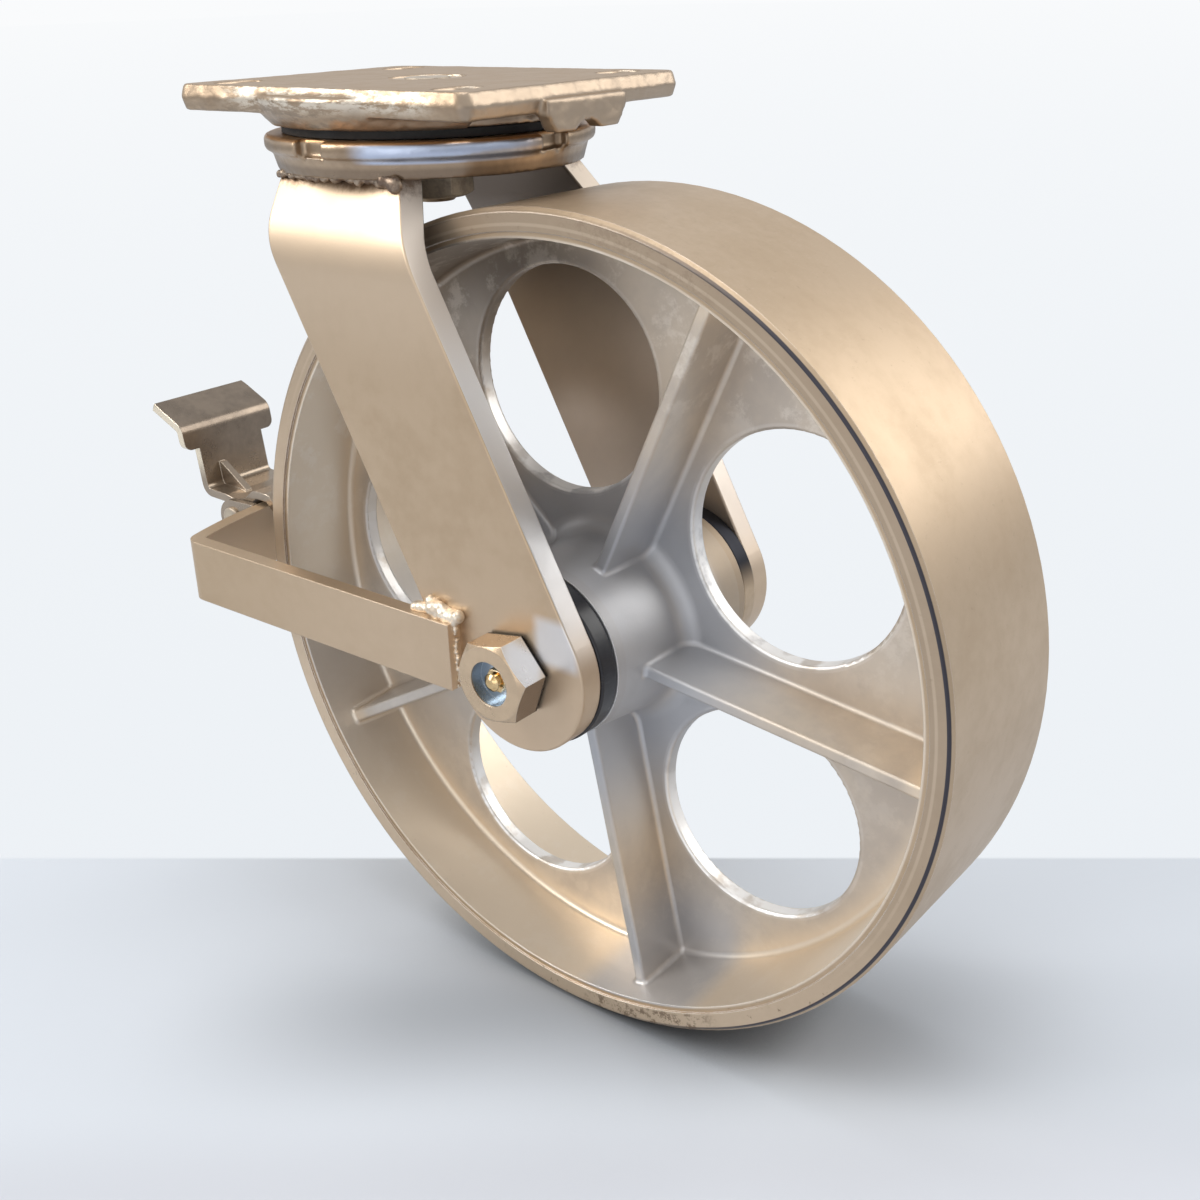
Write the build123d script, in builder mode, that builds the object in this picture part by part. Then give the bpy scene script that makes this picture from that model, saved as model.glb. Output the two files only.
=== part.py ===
from build123d import *
import math
import os

# Heavy duty plate castor, swivel type, with an all-metal five-spoke wheel and a foot brake.
# Millimetres. The origin is the centre of the top plate's upper face, on the swivel axis.
# +Z is up, the wheel trails towards +X and the axle lies along Y.

os.makedirs("parts", exist_ok=True)

# Driving dimensions: wheel
wheel_diameter = 300.0
wheel_width = 70.0
wheel_tread_chamfer = 1.6
rim_wall_at_edge = 9.8
rim_wall_at_web = 12.4
web_thickness = 6.4
web_fillet = 2.5
hub_root_fillet = 7.0
rib_foot_fillet = 2.0
hub_length = 77.0
hub_end_radius = 31.0
hub_root_radius = 34.5
spoke_count = 5
spoke_hole_radius = 40.0
spoke_hole_pitch_radius = 88.0
spoke_hole_phase = 29.5
spoke_hole_lip = 1.2
rib_crest_width = 4.4
rib_root_width = 8.5
rib_crest_near = 25.5
rib_crest_far = 12.0
rib_crest_round = 1.2
rim_step_width = 2.2
rim_step_depth = 0.8

# Driving dimensions: axle, bearing and washers
axle_diameter = 16.0
axle_hex_across_flats = 27.0
axle_head_height = 12.2
axle_washer_face = 0.8
axle_nut_height = 13.0
axle_nut_washer_thickness = 2.5
axle_nut_washer_radius = 15.5
axle_thread_showing = 4.0
nipple_recess_diameter = 16.0
nipple_recess_depth = 5.0
nipple_hex_radius = 4.4
nipple_hex_height = 1.6
nipple_head_radius = 3.2
nipple_neck_radius = 2.0
nipple_tip_radius = 1.6
nipple_neck_height = 0.9
nipple_tip_height = 2.9
nipple_stem_length = 6.0
axle_head_turn = 10.0
axle_nut_turn = 17.0
hex_chamfer_depth = 2.6
hex_chamfer_angle = 60.0
hex_face_relief = 0.4
hex_cutter_margin = 3.0
shaft_end_chamfer = 1.2
grease_hole_diameter = 4.0
bushing_wall = 4.0
roller_diameter = 7.0
roller_length = 58.0
roller_count = 10
cage_wall = 2.6
cage_end_ring = 4.0
thrust_washer_radius = 30.7
thrust_washer_round = 0.8

# Driving dimensions: swivel head
wheel_trail = 77.5
tread_clearance = 6.5
plate_length = 138.0
plate_width = 110.0
plate_thickness = 8.6
plate_corner_radius = 5.0
plate_edge_draft = 18.0
slot_spacing_x = 105.0
slot_spacing_y = 80.0
slot_width = 11.0
slot_length = 18.0
boss_top_radius = 60.5
boss_root_radius = 58.5
boss_foot_radius = 54.5
boss_top_depth = 2.6
boss_depth = 13.0
boss_round = 1.2
race_gap = 3.0
ball_diameter = 12.7
ball_ring_radius = 43.0
ball_count = 20
lock_flange_top_half_width = 20.0
lock_flange_foot_half_width = 15.8
lock_flange_thickness = 5.5
lock_flange_inset = 2.6
lock_flange_depth = 14.6
lock_scallop_radius = 8.8
lock_scallop_rise = 2.9
lock_pocket_half_width = 29.0
lock_pocket_wall = 1.9
king_pin_diameter = 16.0
king_pin_head_diameter = 27.0
king_pin_head_depth = 4.0
king_pin_head_sink = 0.6
king_pin_head_round = 0.6
king_pin_thread_showing = 1.6
king_pin_nut_across_flats = 24.0
king_pin_nut_height = 11.4
king_pin_nut_turn = 39.0
lower_race_radius = 22.0
lower_race_thickness = 3.2
lower_race_chamfer = 0.5
seal_clearance = 0.2
seal_wall = 1.6

# Driving dimensions: fork
fork_ring_radius = 57.7
fork_ring_thickness = 12.0
fork_band_height = 5.6
fork_band_round = 2.0
fork_band_step = 2.4
fork_foot_radius = 53.5
fork_notch_width = 12.0
fork_notch_depth = 4.5
leg_thickness = 9.5
leg_inner_half_gap = 46.5
leg_bar_width = 60.0
leg_lean_angle = 28.0
leg_top_rear = -29.0
leg_bend_start = 58.0
leg_bend_angle = 30.0
leg_bend_inner_radius = 26.5
leg_outline_fillet = 34.0
leg_edge_round = 0.8
weld_leg_size = 5.0
weld_belly = 0.6
weld_end_margin = 1.0

# Driving dimensions: brake band and lever
band_height = 25.0
band_thickness = 6.0
band_front_end = 53.0
band_rear_corner = -92.0
band_rear_bow = 11.0
band_corner_radius = 7.5
band_weld_size = 5.0
band_weld_run = 20.0
lever_sheet = 3.5
lever_half_width = 17.0
lever_bend_radius = 4.0
pedal_half_width = 24.0
pedal_corner_radius = 3.5
lever_pin_diameter = 8.0
lever_pin_behind_band = 13.5
lever_pin_below_band_top = 9.0
lever_pin_head_radius = 5.4
lever_pin_head_height = 1.4
lever_eye_wall = 3.0
ear_thickness = 3.0
ear_lobe_radius = 8.5
ear_height = 20.0
ear_seat_width = 2.0
clip_radius = 6.8
clip_thickness = 1.2
pin_end_showing = 2.4
shoe_gap = 1.5
gusset_width = 3.2
gusset_offset = 7.0
gusset_height = 11.5
gusset_length = 17.0

# The brake lever's bend points, across and up from its pin
pedal_top = (-41.5, 44.5)
pedal_fold = (-25.0, 36.8)
pedal_bottom = 27.5
stem_foot = (-21.2, 7.7)
foot_middle = (-7.5, 7.2)
arm_rise = (7.0, 8.5)
arm_start = (12.0, 12.5)
arm_end = (20.5, 12.5)
arm_knee = (32.5, 1.0)
shoe_heel = (34.5, -9.0)

# Clearances
shaft_clearance = 0.08
roller_clearance = 0.15
ball_clearance = 0.15
side_clearance = 0.3
weld_clearance = 0.05

# Places worked out from the sizes above
wheel_radius = wheel_diameter / 2
half_width = wheel_width / 2
leg_outer = leg_inner_half_gap + leg_thickness
boss_foot_z = -boss_depth
fork_top_z = boss_foot_z - race_gap
fork_bottom_z = fork_top_z - fork_ring_thickness
axle_z = fork_bottom_z - tread_clearance - wheel_radius
seal_radius = boss_foot_radius - boss_round - lock_pocket_wall
bushing_radius = axle_diameter / 2 + shaft_clearance + bushing_wall
roller_pitch_radius = bushing_radius + roller_clearance + roller_diameter / 2
hub_bore_radius = roller_pitch_radius + roller_diameter / 2 + roller_clearance
washer_thickness = leg_inner_half_gap - hub_length / 2 - side_clearance
band_outer = leg_outer + band_thickness
band_top_z = axle_z + band_height / 2
band_bottom_z = axle_z - band_height / 2
band_rear = band_rear_corner - band_rear_bow
lever_pin_x = band_rear - lever_pin_behind_band
lever_pin_z = band_top_z - lever_pin_below_band_top
ear_inner = lever_half_width + side_clearance
ear_outer = ear_inner + ear_thickness

axle_plane = Plane(origin=(wheel_trail, 0, axle_z), x_dir=(1, 0, 0), z_dir=(0, -1, 0))


def side_plane(y):
    """A plane that looks along -Y onto the castor's side, with X to the right and Z up."""
    return Plane(origin=(0, y, 0), x_dir=(1, 0, 0), z_dir=(0, -1, 0))


def axle_side_plane(y):
    """The same view of the side, centred on the axle."""
    return Plane(origin=(wheel_trail, y, axle_z), x_dir=(1, 0, 0), z_dir=(0, -1, 0))


def distance_from_axle(point):
    """How far a point is from the axle's line."""
    return math.hypot(point.X - wheel_trail, point.Z - axle_z)


def finish(builder, label):
    """Names a finished sub-part and writes its file."""
    builder.part.label = label
    export_step(builder.part, f"parts/{label}.step")


# The wheel is one casting: tread, rim, web with five round holes, five ribs a side and a hub.
# Its section is revolved about the axle, in a plane through the axle with radius along +X.
section_plane = Plane(origin=(wheel_trail, 0, axle_z), x_dir=(1, 0, 0), z_dir=(0, 0, 1))
rim_inner_edge = wheel_radius - rim_wall_at_edge
rim_inner_web = wheel_radius - rim_wall_at_web
half_web = web_thickness / 2

with BuildPart() as wheel:
    with BuildSketch(section_plane):
        with BuildLine():
            Polyline(
                (hub_bore_radius, hub_length / 2),
                (hub_end_radius, hub_length / 2),
                (hub_root_radius, half_web),
                (rim_inner_web, half_web),
                (rim_inner_edge, half_width - rim_step_depth),
                (rim_inner_edge + rim_step_width, half_width - rim_step_depth),
                (rim_inner_edge + rim_step_width, half_width),
                (wheel_radius - wheel_tread_chamfer, half_width),
                (wheel_radius, half_width - wheel_tread_chamfer),
                (wheel_radius, -half_width + wheel_tread_chamfer),
                (wheel_radius - wheel_tread_chamfer, -half_width),
                (rim_inner_edge + rim_step_width, -half_width),
                (rim_inner_edge + rim_step_width, -half_width + rim_step_depth),
                (rim_inner_edge, -half_width + rim_step_depth),
                (rim_inner_web, -half_web),
                (hub_root_radius, -half_web),
                (hub_end_radius, -hub_length / 2),
                (hub_bore_radius, -hub_length / 2),
                close=True,
            )
        make_face()
        rim_corners = [v for v in vertices() if abs(v.X - rim_inner_web) < 0.01]
        fillet(rim_corners, web_fillet)
    revolve(axis=Axis((wheel_trail, 0, axle_z), (0, 1, 0)))
    hub_roots = [
        e
        for e in edges().filter_by(GeomType.CIRCLE)
        if abs(e.radius - hub_root_radius) < 0.01
    ]
    fillet(hub_roots, hub_root_fillet)
    with BuildSketch(axle_plane):
        with PolarLocations(spoke_hole_pitch_radius, spoke_count, start_angle=spoke_hole_phase):
            Circle(spoke_hole_radius)
    extrude(amount=wheel_width, both=True, mode=Mode.SUBTRACT)
    lip_edges = [
        e
        for e in edges().filter_by(GeomType.CIRCLE)
        if abs(e.radius - spoke_hole_radius) < 0.01
    ]
    fillet(lip_edges, spoke_hole_lip)
    rib_root_radius = (hub_bore_radius + hub_end_radius) / 2
    rib_end_radius = (rim_inner_edge + wheel_radius) / 2
    rib_middle_radius = (rib_root_radius + rib_end_radius) / 2
    rib_length = rib_end_radius - rib_root_radius
    for side, crest in ((1, rib_crest_near), (-1, rib_crest_far)):
        rib_height = crest - half_web / 2
        rib_taper = math.degrees(math.atan((rib_root_width - rib_crest_width) / 2 / rib_height))
        rib_plane = Plane(
            origin=(wheel_trail, -side * half_web / 2, axle_z), x_dir=(1, 0, 0), z_dir=(0, -side, 0)
        )
        phase = (spoke_hole_phase + 180 / spoke_count) * side
        with BuildSketch(rib_plane):
            with PolarLocations(rib_middle_radius, spoke_count, start_angle=phase):
                Rectangle(rib_length, rib_root_width)
        extrude(amount=rib_height, taper=rib_taper)
    crest_edges = [
        e
        for e in edges().filter_by(GeomType.LINE)
        if e.length > spoke_hole_radius
        and min(abs(e.center().Y + rib_crest_near), abs(e.center().Y - rib_crest_far)) < 0.01
    ]
    fillet(crest_edges, rib_crest_round)
    rib_feet = [
        e
        for e in edges().filter_by(GeomType.BSPLINE)
        if e.length > 2 * spoke_hole_radius and abs(abs(e.center().Y) - half_web) < 0.01
    ]
    rib_hub_corners = [
        e
        for e in edges().filter_by(GeomType.BSPLINE)
        if hub_end_radius < distance_from_axle(e.center()) < hub_root_radius + hub_root_fillet
        and e.bounding_box().size.Y > hub_root_fillet / 2
    ]
    fillet(rib_feet + rib_hub_corners, rib_foot_fillet)
finish(wheel, "wheel")

# The wheel turns on straight rollers in a cage, which run on a plain bushing over the axle.
with BuildPart() as bearing_rollers:
    with BuildSketch(axle_side_plane(roller_length / 2)):
        with PolarLocations(roller_pitch_radius, roller_count):
            Circle(roller_diameter / 2)
    extrude(amount=roller_length)
finish(bearing_rollers, "bearing_rollers")

cage_length = roller_length + 2 * cage_end_ring
with BuildPart() as bearing_cage:
    with BuildSketch(axle_side_plane(cage_length / 2)):
        Circle(roller_pitch_radius + cage_wall / 2)
        Circle(roller_pitch_radius - cage_wall / 2, mode=Mode.SUBTRACT)
    extrude(amount=cage_length)
    with BuildSketch(axle_side_plane(roller_length / 2 + side_clearance)):
        with PolarLocations(roller_pitch_radius, roller_count):
            Circle(roller_diameter / 2 + roller_clearance)
    extrude(amount=roller_length + 2 * side_clearance, mode=Mode.SUBTRACT)
finish(bearing_cage, "bearing_cage")

bushing_length = 2 * leg_inner_half_gap - 2 * shaft_clearance
with BuildPart() as spanner_bushing:
    with BuildSketch(axle_side_plane(bushing_length / 2)):
        Circle(bushing_radius)
        Circle(axle_diameter / 2 + shaft_clearance, mode=Mode.SUBTRACT)
    extrude(amount=bushing_length)
    with Locations(Location((wheel_trail, 0, axle_z))):
        Cylinder(grease_hole_diameter / 2, 4 * bushing_radius, mode=Mode.SUBTRACT)
finish(spanner_bushing, "spanner_bushing")


def make_thrust_washer(side):
    """A black washer between one hub end and the leg beside it, with its rim rounded."""
    start = hub_length / 2 + side_clearance if side > 0 else -hub_length / 2 - side_clearance
    with BuildPart() as washer:
        with BuildSketch(axle_side_plane(start)):
            Circle(thrust_washer_radius)
            Circle(bushing_radius + shaft_clearance, mode=Mode.SUBTRACT)
        extrude(amount=-side * washer_thickness)
        rim = washer.edges().filter_by(GeomType.CIRCLE).group_by(SortBy.RADIUS)[-1]
        fillet(rim, thrust_washer_round)
    return washer


thrust_washer_near = make_thrust_washer(-1)
finish(thrust_washer_near, "thrust_washer_near")
thrust_washer_far = make_thrust_washer(1)
finish(thrust_washer_far, "thrust_washer_far")


def hexagon_radius(across_flats):
    """The corner radius of a hexagon of the given width across its flats."""
    return across_flats / 2 / math.cos(math.radians(30))


# The axle is a bolt: its head faces -Y, is counterbored for a grease nipple, and the shank is
# drilled along its middle to a cross hole at the bearing.
head_y = -leg_outer
head_face_y = head_y - axle_washer_face - axle_head_height
nut_face_y = leg_outer + axle_nut_washer_thickness
axle_end_y = nut_face_y + axle_nut_height + axle_thread_showing
hex_corner = hexagon_radius(axle_hex_across_flats)
with BuildPart() as axle_bolt:
    with BuildSketch(axle_side_plane(axle_end_y)):
        Circle(axle_diameter / 2)
    extrude(amount=axle_end_y - head_y)
    chamfer(axle_bolt.faces().sort_by(Axis.Y)[-1].edges(), shaft_end_chamfer)
    with BuildSketch(axle_side_plane(head_y)):
        Circle(axle_hex_across_flats / 2 - 2 * hex_face_relief)
    extrude(amount=axle_washer_face)
    with BuildSketch(axle_side_plane(head_y - axle_washer_face)):
        RegularPolygon(hex_corner, 6, rotation=axle_head_turn)
    extrude(amount=axle_head_height)
    with BuildSketch(axle_side_plane(head_face_y)):
        Circle(hex_corner + hex_cutter_margin)
        Circle(axle_hex_across_flats / 2 - hex_face_relief, mode=Mode.SUBTRACT)
    extrude(amount=-hex_chamfer_depth, taper=hex_chamfer_angle, mode=Mode.SUBTRACT)
    with BuildSketch(axle_side_plane(head_face_y)):
        Circle(nipple_recess_diameter / 2)
    extrude(amount=-nipple_recess_depth, mode=Mode.SUBTRACT)
    with BuildSketch(axle_side_plane(head_face_y)):
        Circle(grease_hole_diameter / 2)
    extrude(amount=head_face_y, mode=Mode.SUBTRACT)
    with Locations(Location((wheel_trail, 0, axle_z))):
        Cylinder(grease_hole_diameter / 2, 2 * axle_diameter, mode=Mode.SUBTRACT)
finish(axle_bolt, "axle_bolt")

# The grease nipple stands in the counterbore of the axle's head and stays below its face.
nipple_root_y = head_face_y + nipple_recess_depth
nipple_plane = Plane(origin=(wheel_trail, 0, axle_z), x_dir=(1, 0, 0), z_dir=(0, 0, 1))
nipple_hex_y = nipple_root_y - nipple_hex_height
nipple_stem_radius = grease_hole_diameter / 2 - shaft_clearance
with BuildPart() as grease_nipple:
    with BuildSketch(axle_side_plane(nipple_root_y)):
        RegularPolygon(nipple_hex_radius, 6)
    extrude(amount=nipple_hex_height)
    with BuildSketch(nipple_plane):
        with BuildLine():
            Polyline(
                (0, nipple_root_y + nipple_stem_length),
                (nipple_stem_radius, nipple_root_y + nipple_stem_length),
                (nipple_stem_radius, nipple_hex_y),
                (nipple_neck_radius, nipple_hex_y - nipple_neck_height),
                (nipple_head_radius, nipple_hex_y - 2 * nipple_neck_height),
                (nipple_tip_radius, nipple_hex_y - nipple_tip_height),
                (0, nipple_hex_y - nipple_tip_height),
                close=True,
            )
        make_face()
    revolve(axis=Axis((wheel_trail, 0, axle_z), (0, 1, 0)))
finish(grease_nipple, "grease_nipple")

with BuildPart() as axle_nut_washer:
    with BuildSketch(axle_side_plane(leg_outer)):
        Circle(axle_nut_washer_radius)
        Circle(axle_diameter / 2 + shaft_clearance, mode=Mode.SUBTRACT)
    extrude(amount=-axle_nut_washer_thickness)
finish(axle_nut_washer, "axle_nut_washer")

with BuildPart() as axle_nut:
    with BuildSketch(axle_side_plane(nut_face_y)):
        RegularPolygon(hex_corner, 6, rotation=axle_nut_turn)
    extrude(amount=-axle_nut_height)
    with BuildSketch(axle_side_plane(nut_face_y + axle_nut_height)):
        Circle(hex_corner + hex_cutter_margin)
        Circle(axle_hex_across_flats / 2 - hex_face_relief, mode=Mode.SUBTRACT)
    extrude(amount=hex_chamfer_depth, taper=hex_chamfer_angle, mode=Mode.SUBTRACT)
    with BuildSketch(axle_side_plane(nut_face_y)):
        Circle(axle_diameter / 2 + shaft_clearance)
    extrude(amount=-axle_nut_height, mode=Mode.SUBTRACT)
finish(axle_nut, "axle_nut")

# The top plate is forged in one piece: drafted edges, a round boss with the ball groove in its
# foot, slotted bolt holes, and a scalloped flange for a swivel lock on the +X edge.
half_thickness = plate_thickness / 2
with BuildPart() as top_plate:
    for direction in (1, -1):
        with BuildSketch(Plane.XY.offset(-half_thickness)):
            RectangleRounded(plate_length, plate_width, plate_corner_radius)
        extrude(amount=direction * half_thickness, taper=plate_edge_draft)
    with BuildSketch(Plane.XZ):
        with BuildLine():
            Polyline(
                (0, -boss_top_depth),
                (boss_top_radius, -boss_top_depth),
                (boss_top_radius, -half_thickness),
                (boss_root_radius, -plate_thickness),
                (boss_foot_radius, boss_foot_z),
                (0, boss_foot_z),
                close=True,
            )
        make_face()
        fillet(vertices().group_by(Axis.X)[-1], boss_round / 2)
    revolve(axis=Axis.Z)
    foot_edge = top_plate.edges().filter_by(GeomType.CIRCLE).group_by(Axis.Z)[0]
    fillet(foot_edge, boss_round)
    with BuildSketch(Plane.XY.offset(boss_foot_z)):
        Rectangle(plate_length, 2 * lock_pocket_half_width, align=(Align.MIN, Align.CENTER))
        Circle(seal_radius + seal_clearance, mode=Mode.SUBTRACT)
    extrude(amount=boss_depth - plate_thickness, mode=Mode.SUBTRACT)
    with BuildSketch(Plane.YZ.offset(plate_length / 2 + lock_flange_inset)):
        with BuildLine():
            Polyline(
                (-lock_flange_top_half_width, -half_thickness),
                (-lock_flange_top_half_width, -plate_thickness),
                (-lock_flange_foot_half_width, -lock_flange_depth),
                (lock_flange_foot_half_width, -lock_flange_depth),
                (lock_flange_top_half_width, -plate_thickness),
                (lock_flange_top_half_width, -half_thickness),
                close=True,
            )
        make_face()
        with Locations((0, -lock_flange_depth + lock_scallop_rise - lock_scallop_radius)):
            Circle(lock_scallop_radius, mode=Mode.SUBTRACT)
    extrude(amount=-lock_flange_thickness)
    with BuildSketch(Plane.XZ):
        with Locations((ball_ring_radius, boss_foot_z - race_gap / 2)):
            Circle(ball_diameter / 2 + ball_clearance)
    revolve(axis=Axis.Z, mode=Mode.SUBTRACT)
    with BuildSketch(Plane.XY):
        with GridLocations(slot_spacing_x, slot_spacing_y, 2, 2):
            SlotOverall(slot_length, slot_width, rotation=90)
    extrude(amount=-2 * boss_depth, mode=Mode.SUBTRACT)
    with BuildSketch(Plane.XY):
        Circle(king_pin_head_diameter / 2 + shaft_clearance)
    extrude(amount=-king_pin_head_depth, mode=Mode.SUBTRACT)
    Hole(king_pin_diameter / 2 + shaft_clearance, depth=4 * boss_depth)
finish(top_plate, "top_plate")

# The king pin drops through the plate, the balls' centre and the fork, and its nut holds them.
nut_top_z = fork_bottom_z - side_clearance
king_pin_end_z = nut_top_z - king_pin_nut_height - king_pin_thread_showing
with BuildPart() as king_pin:
    with BuildSketch(Plane.XY):
        Circle(king_pin_diameter / 2)
    extrude(amount=king_pin_end_z)
    chamfer(king_pin.faces().sort_by(Axis.Z)[0].edges(), shaft_end_chamfer)
    with BuildSketch(Plane.XY.offset(-king_pin_head_sink)):
        Circle(king_pin_head_diameter / 2)
    extrude(amount=king_pin_head_sink - king_pin_head_depth)
    head_edges = king_pin.edges().filter_by(GeomType.CIRCLE).group_by(SortBy.RADIUS)[-1]
    fillet(head_edges.sort_by(Axis.Z)[-1], king_pin_head_round)
finish(king_pin, "king_pin")

king_nut_corner = hexagon_radius(king_pin_nut_across_flats)
with BuildPart() as king_pin_nut:
    with BuildSketch(Plane.XY.offset(nut_top_z)):
        RegularPolygon(king_nut_corner, 6, rotation=king_pin_nut_turn)
    extrude(amount=-king_pin_nut_height)
    with BuildSketch(Plane.XY.offset(nut_top_z - king_pin_nut_height)):
        Circle(king_nut_corner + hex_cutter_margin)
        Circle(king_pin_nut_across_flats / 2 - hex_face_relief, mode=Mode.SUBTRACT)
    extrude(amount=hex_chamfer_depth, taper=hex_chamfer_angle, mode=Mode.SUBTRACT)
    with BuildSketch(Plane.XY.offset(nut_top_z)):
        Circle(king_pin_diameter / 2 + shaft_clearance)
    extrude(amount=-king_pin_nut_height, mode=Mode.SUBTRACT)
finish(king_pin_nut, "king_pin_nut")

# A hardened washer takes the lower thrust in a recess of the fork's underside.
race_top_z = fork_bottom_z + lower_race_thickness - side_clearance
with BuildPart() as lower_race:
    with BuildSketch(Plane.XY.offset(race_top_z)):
        Circle(lower_race_radius)
        Circle(king_pin_diameter / 2 + shaft_clearance, mode=Mode.SUBTRACT)
    extrude(amount=-lower_race_thickness)
    race_rim = lower_race.edges().filter_by(GeomType.CIRCLE).group_by(SortBy.RADIUS)[-1]
    chamfer(race_rim, lower_race_chamfer)
finish(lower_race, "lower_race")

with BuildPart() as main_balls:
    with PolarLocations(ball_ring_radius, ball_count):
        with Locations((0, 0, boss_foot_z - race_gap / 2)):
            Sphere(ball_diameter / 2)
finish(main_balls, "main_balls")

with BuildPart() as swivel_seal:
    with BuildSketch(Plane.XY.offset(boss_foot_z)):
        Circle(seal_radius)
        Circle(seal_radius - seal_wall, mode=Mode.SUBTRACT)
    extrude(amount=side_clearance - race_gap)
finish(swivel_seal, "swivel_seal")

# The fork's base is a forged disc with a rounded band, four lock notches and the lower groove.
band_foot_z = fork_top_z - fork_band_height
with BuildPart() as fork_base:
    with BuildSketch(Plane.XZ):
        with BuildLine():
            Polyline(
                (king_pin_diameter / 2 + side_clearance, fork_top_z),
                (fork_ring_radius, fork_top_z),
                (fork_ring_radius, band_foot_z),
                (fork_ring_radius - fork_band_step, band_foot_z),
                (fork_foot_radius, fork_bottom_z),
                (king_pin_diameter / 2 + side_clearance, fork_bottom_z),
                close=True,
            )
        make_face()
        fillet(vertices().group_by(Axis.X)[-1], fork_band_round)
    revolve(axis=Axis.Z)
    with BuildSketch(Plane.XZ):
        with Locations((ball_ring_radius, boss_foot_z - race_gap / 2)):
            Circle(ball_diameter / 2 + ball_clearance)
    revolve(axis=Axis.Z, mode=Mode.SUBTRACT)
    with BuildSketch(Plane.XY.offset(fork_bottom_z)):
        Circle(lower_race_radius + side_clearance)
    extrude(amount=lower_race_thickness, mode=Mode.SUBTRACT)
    with BuildSketch(Plane.XY.offset(fork_top_z)):
        with PolarLocations(fork_ring_radius, 4):
            Rectangle(2 * fork_notch_depth, fork_notch_width)
    extrude(amount=-fork_band_height, mode=Mode.SUBTRACT)
finish(fork_base, "fork_base")


# Each leg is a flat bar: its outline is cut in the side view, and its top is bent in to the base.
lean = math.radians(leg_lean_angle)
lobe_radius = leg_bar_width / 2
front_touch_x = wheel_trail + lobe_radius * math.cos(lean)
front_touch_z = axle_z + lobe_radius * math.sin(lean)
rear_touch_x = wheel_trail - lobe_radius * math.cos(lean)
rear_touch_z = axle_z - lobe_radius * math.sin(lean)
leg_top_front = front_touch_x - (fork_bottom_z - front_touch_z) * math.tan(lean)
rear_bend_z = rear_touch_z + (rear_touch_x - leg_top_rear) / math.tan(lean)
bend_radians = math.radians(leg_bend_angle)
bend_outer_radius = leg_bend_inner_radius + leg_thickness
bend_centre_y = leg_inner_half_gap - leg_bend_inner_radius


def bend_point(radius, side):
    """The end of the leg's bend at the given radius about the bend's centre."""
    y = bend_centre_y + radius * math.cos(bend_radians)
    return (side * y, -leg_bend_start + radius * math.sin(bend_radians))


def bend_top(radius, side):
    """Where the leg's straight tip beyond the bend meets the underside of the base."""
    y, z = bend_point(radius, side)
    return (y - side * (fork_bottom_z - z) * math.tan(bend_radians), fork_bottom_z)


def bend_middle(radius, side):
    """The middle of the leg's bend at the given radius."""
    half = bend_radians / 2
    return (side * (bend_centre_y + radius * math.cos(half)), -leg_bend_start + radius * math.sin(half))


def make_leg(side):
    """One fork leg; side is -1 for the near leg and 1 for the far one."""
    inner_y = side * leg_inner_half_gap
    outer_y = side * leg_outer
    foot_z = axle_z - leg_bar_width
    with BuildPart() as leg:
        with BuildSketch(Plane.YZ.offset(leg_top_rear - leg_bar_width)):
            with BuildLine():
                Line((inner_y, foot_z), (inner_y, -leg_bend_start))
                ThreePointArc(
                    (inner_y, -leg_bend_start),
                    bend_middle(leg_bend_inner_radius, side),
                    bend_point(leg_bend_inner_radius, side),
                )
                Line(bend_point(leg_bend_inner_radius, side), bend_top(leg_bend_inner_radius, side))
                Line(bend_top(leg_bend_inner_radius, side), bend_top(bend_outer_radius, side))
                Line(bend_top(bend_outer_radius, side), bend_point(bend_outer_radius, side))
                ThreePointArc(
                    bend_point(bend_outer_radius, side),
                    bend_middle(bend_outer_radius, side),
                    (outer_y, -leg_bend_start),
                )
                Line((outer_y, -leg_bend_start), (outer_y, foot_z))
                Line((outer_y, foot_z), (inner_y, foot_z))
            make_face()
        extrude(amount=wheel_trail - leg_top_rear + 3 * leg_bar_width)
        with BuildSketch(side_plane(leg_outer + leg_thickness)):
            with BuildLine():
                Line((leg_top_rear, rear_bend_z), (leg_top_rear, fork_bottom_z))
                Line((leg_top_rear, fork_bottom_z), (leg_top_front, fork_bottom_z))
                Line((leg_top_front, fork_bottom_z), (front_touch_x, front_touch_z))
                ThreePointArc(
                    (front_touch_x, front_touch_z),
                    (wheel_trail + lobe_radius * math.sin(lean), axle_z - lobe_radius * math.cos(lean)),
                    (rear_touch_x, rear_touch_z),
                )
                Line((rear_touch_x, rear_touch_z), (leg_top_rear, rear_bend_z))
            make_face()
            rear_bend = vertices().filter_by_position(Axis.Y, rear_bend_z, rear_bend_z)
            fillet(rear_bend, leg_outline_fillet)
        extrude(amount=2 * (leg_outer + leg_thickness), mode=Mode.INTERSECT)
        with BuildSketch(axle_side_plane(leg_outer + leg_thickness)):
            Circle(axle_diameter / 2 + shaft_clearance)
        extrude(amount=2 * (leg_outer + leg_thickness), mode=Mode.SUBTRACT)
        long_edges = leg.edges().filter_by(lambda e: e.length > leg_bar_width)
        fillet(long_edges, leg_edge_round)
    return leg


fork_leg_near = make_leg(-1)
finish(fork_leg_near, "fork_leg_near")
fork_leg_far = make_leg(1)
finish(fork_leg_far, "fork_leg_far")

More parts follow.
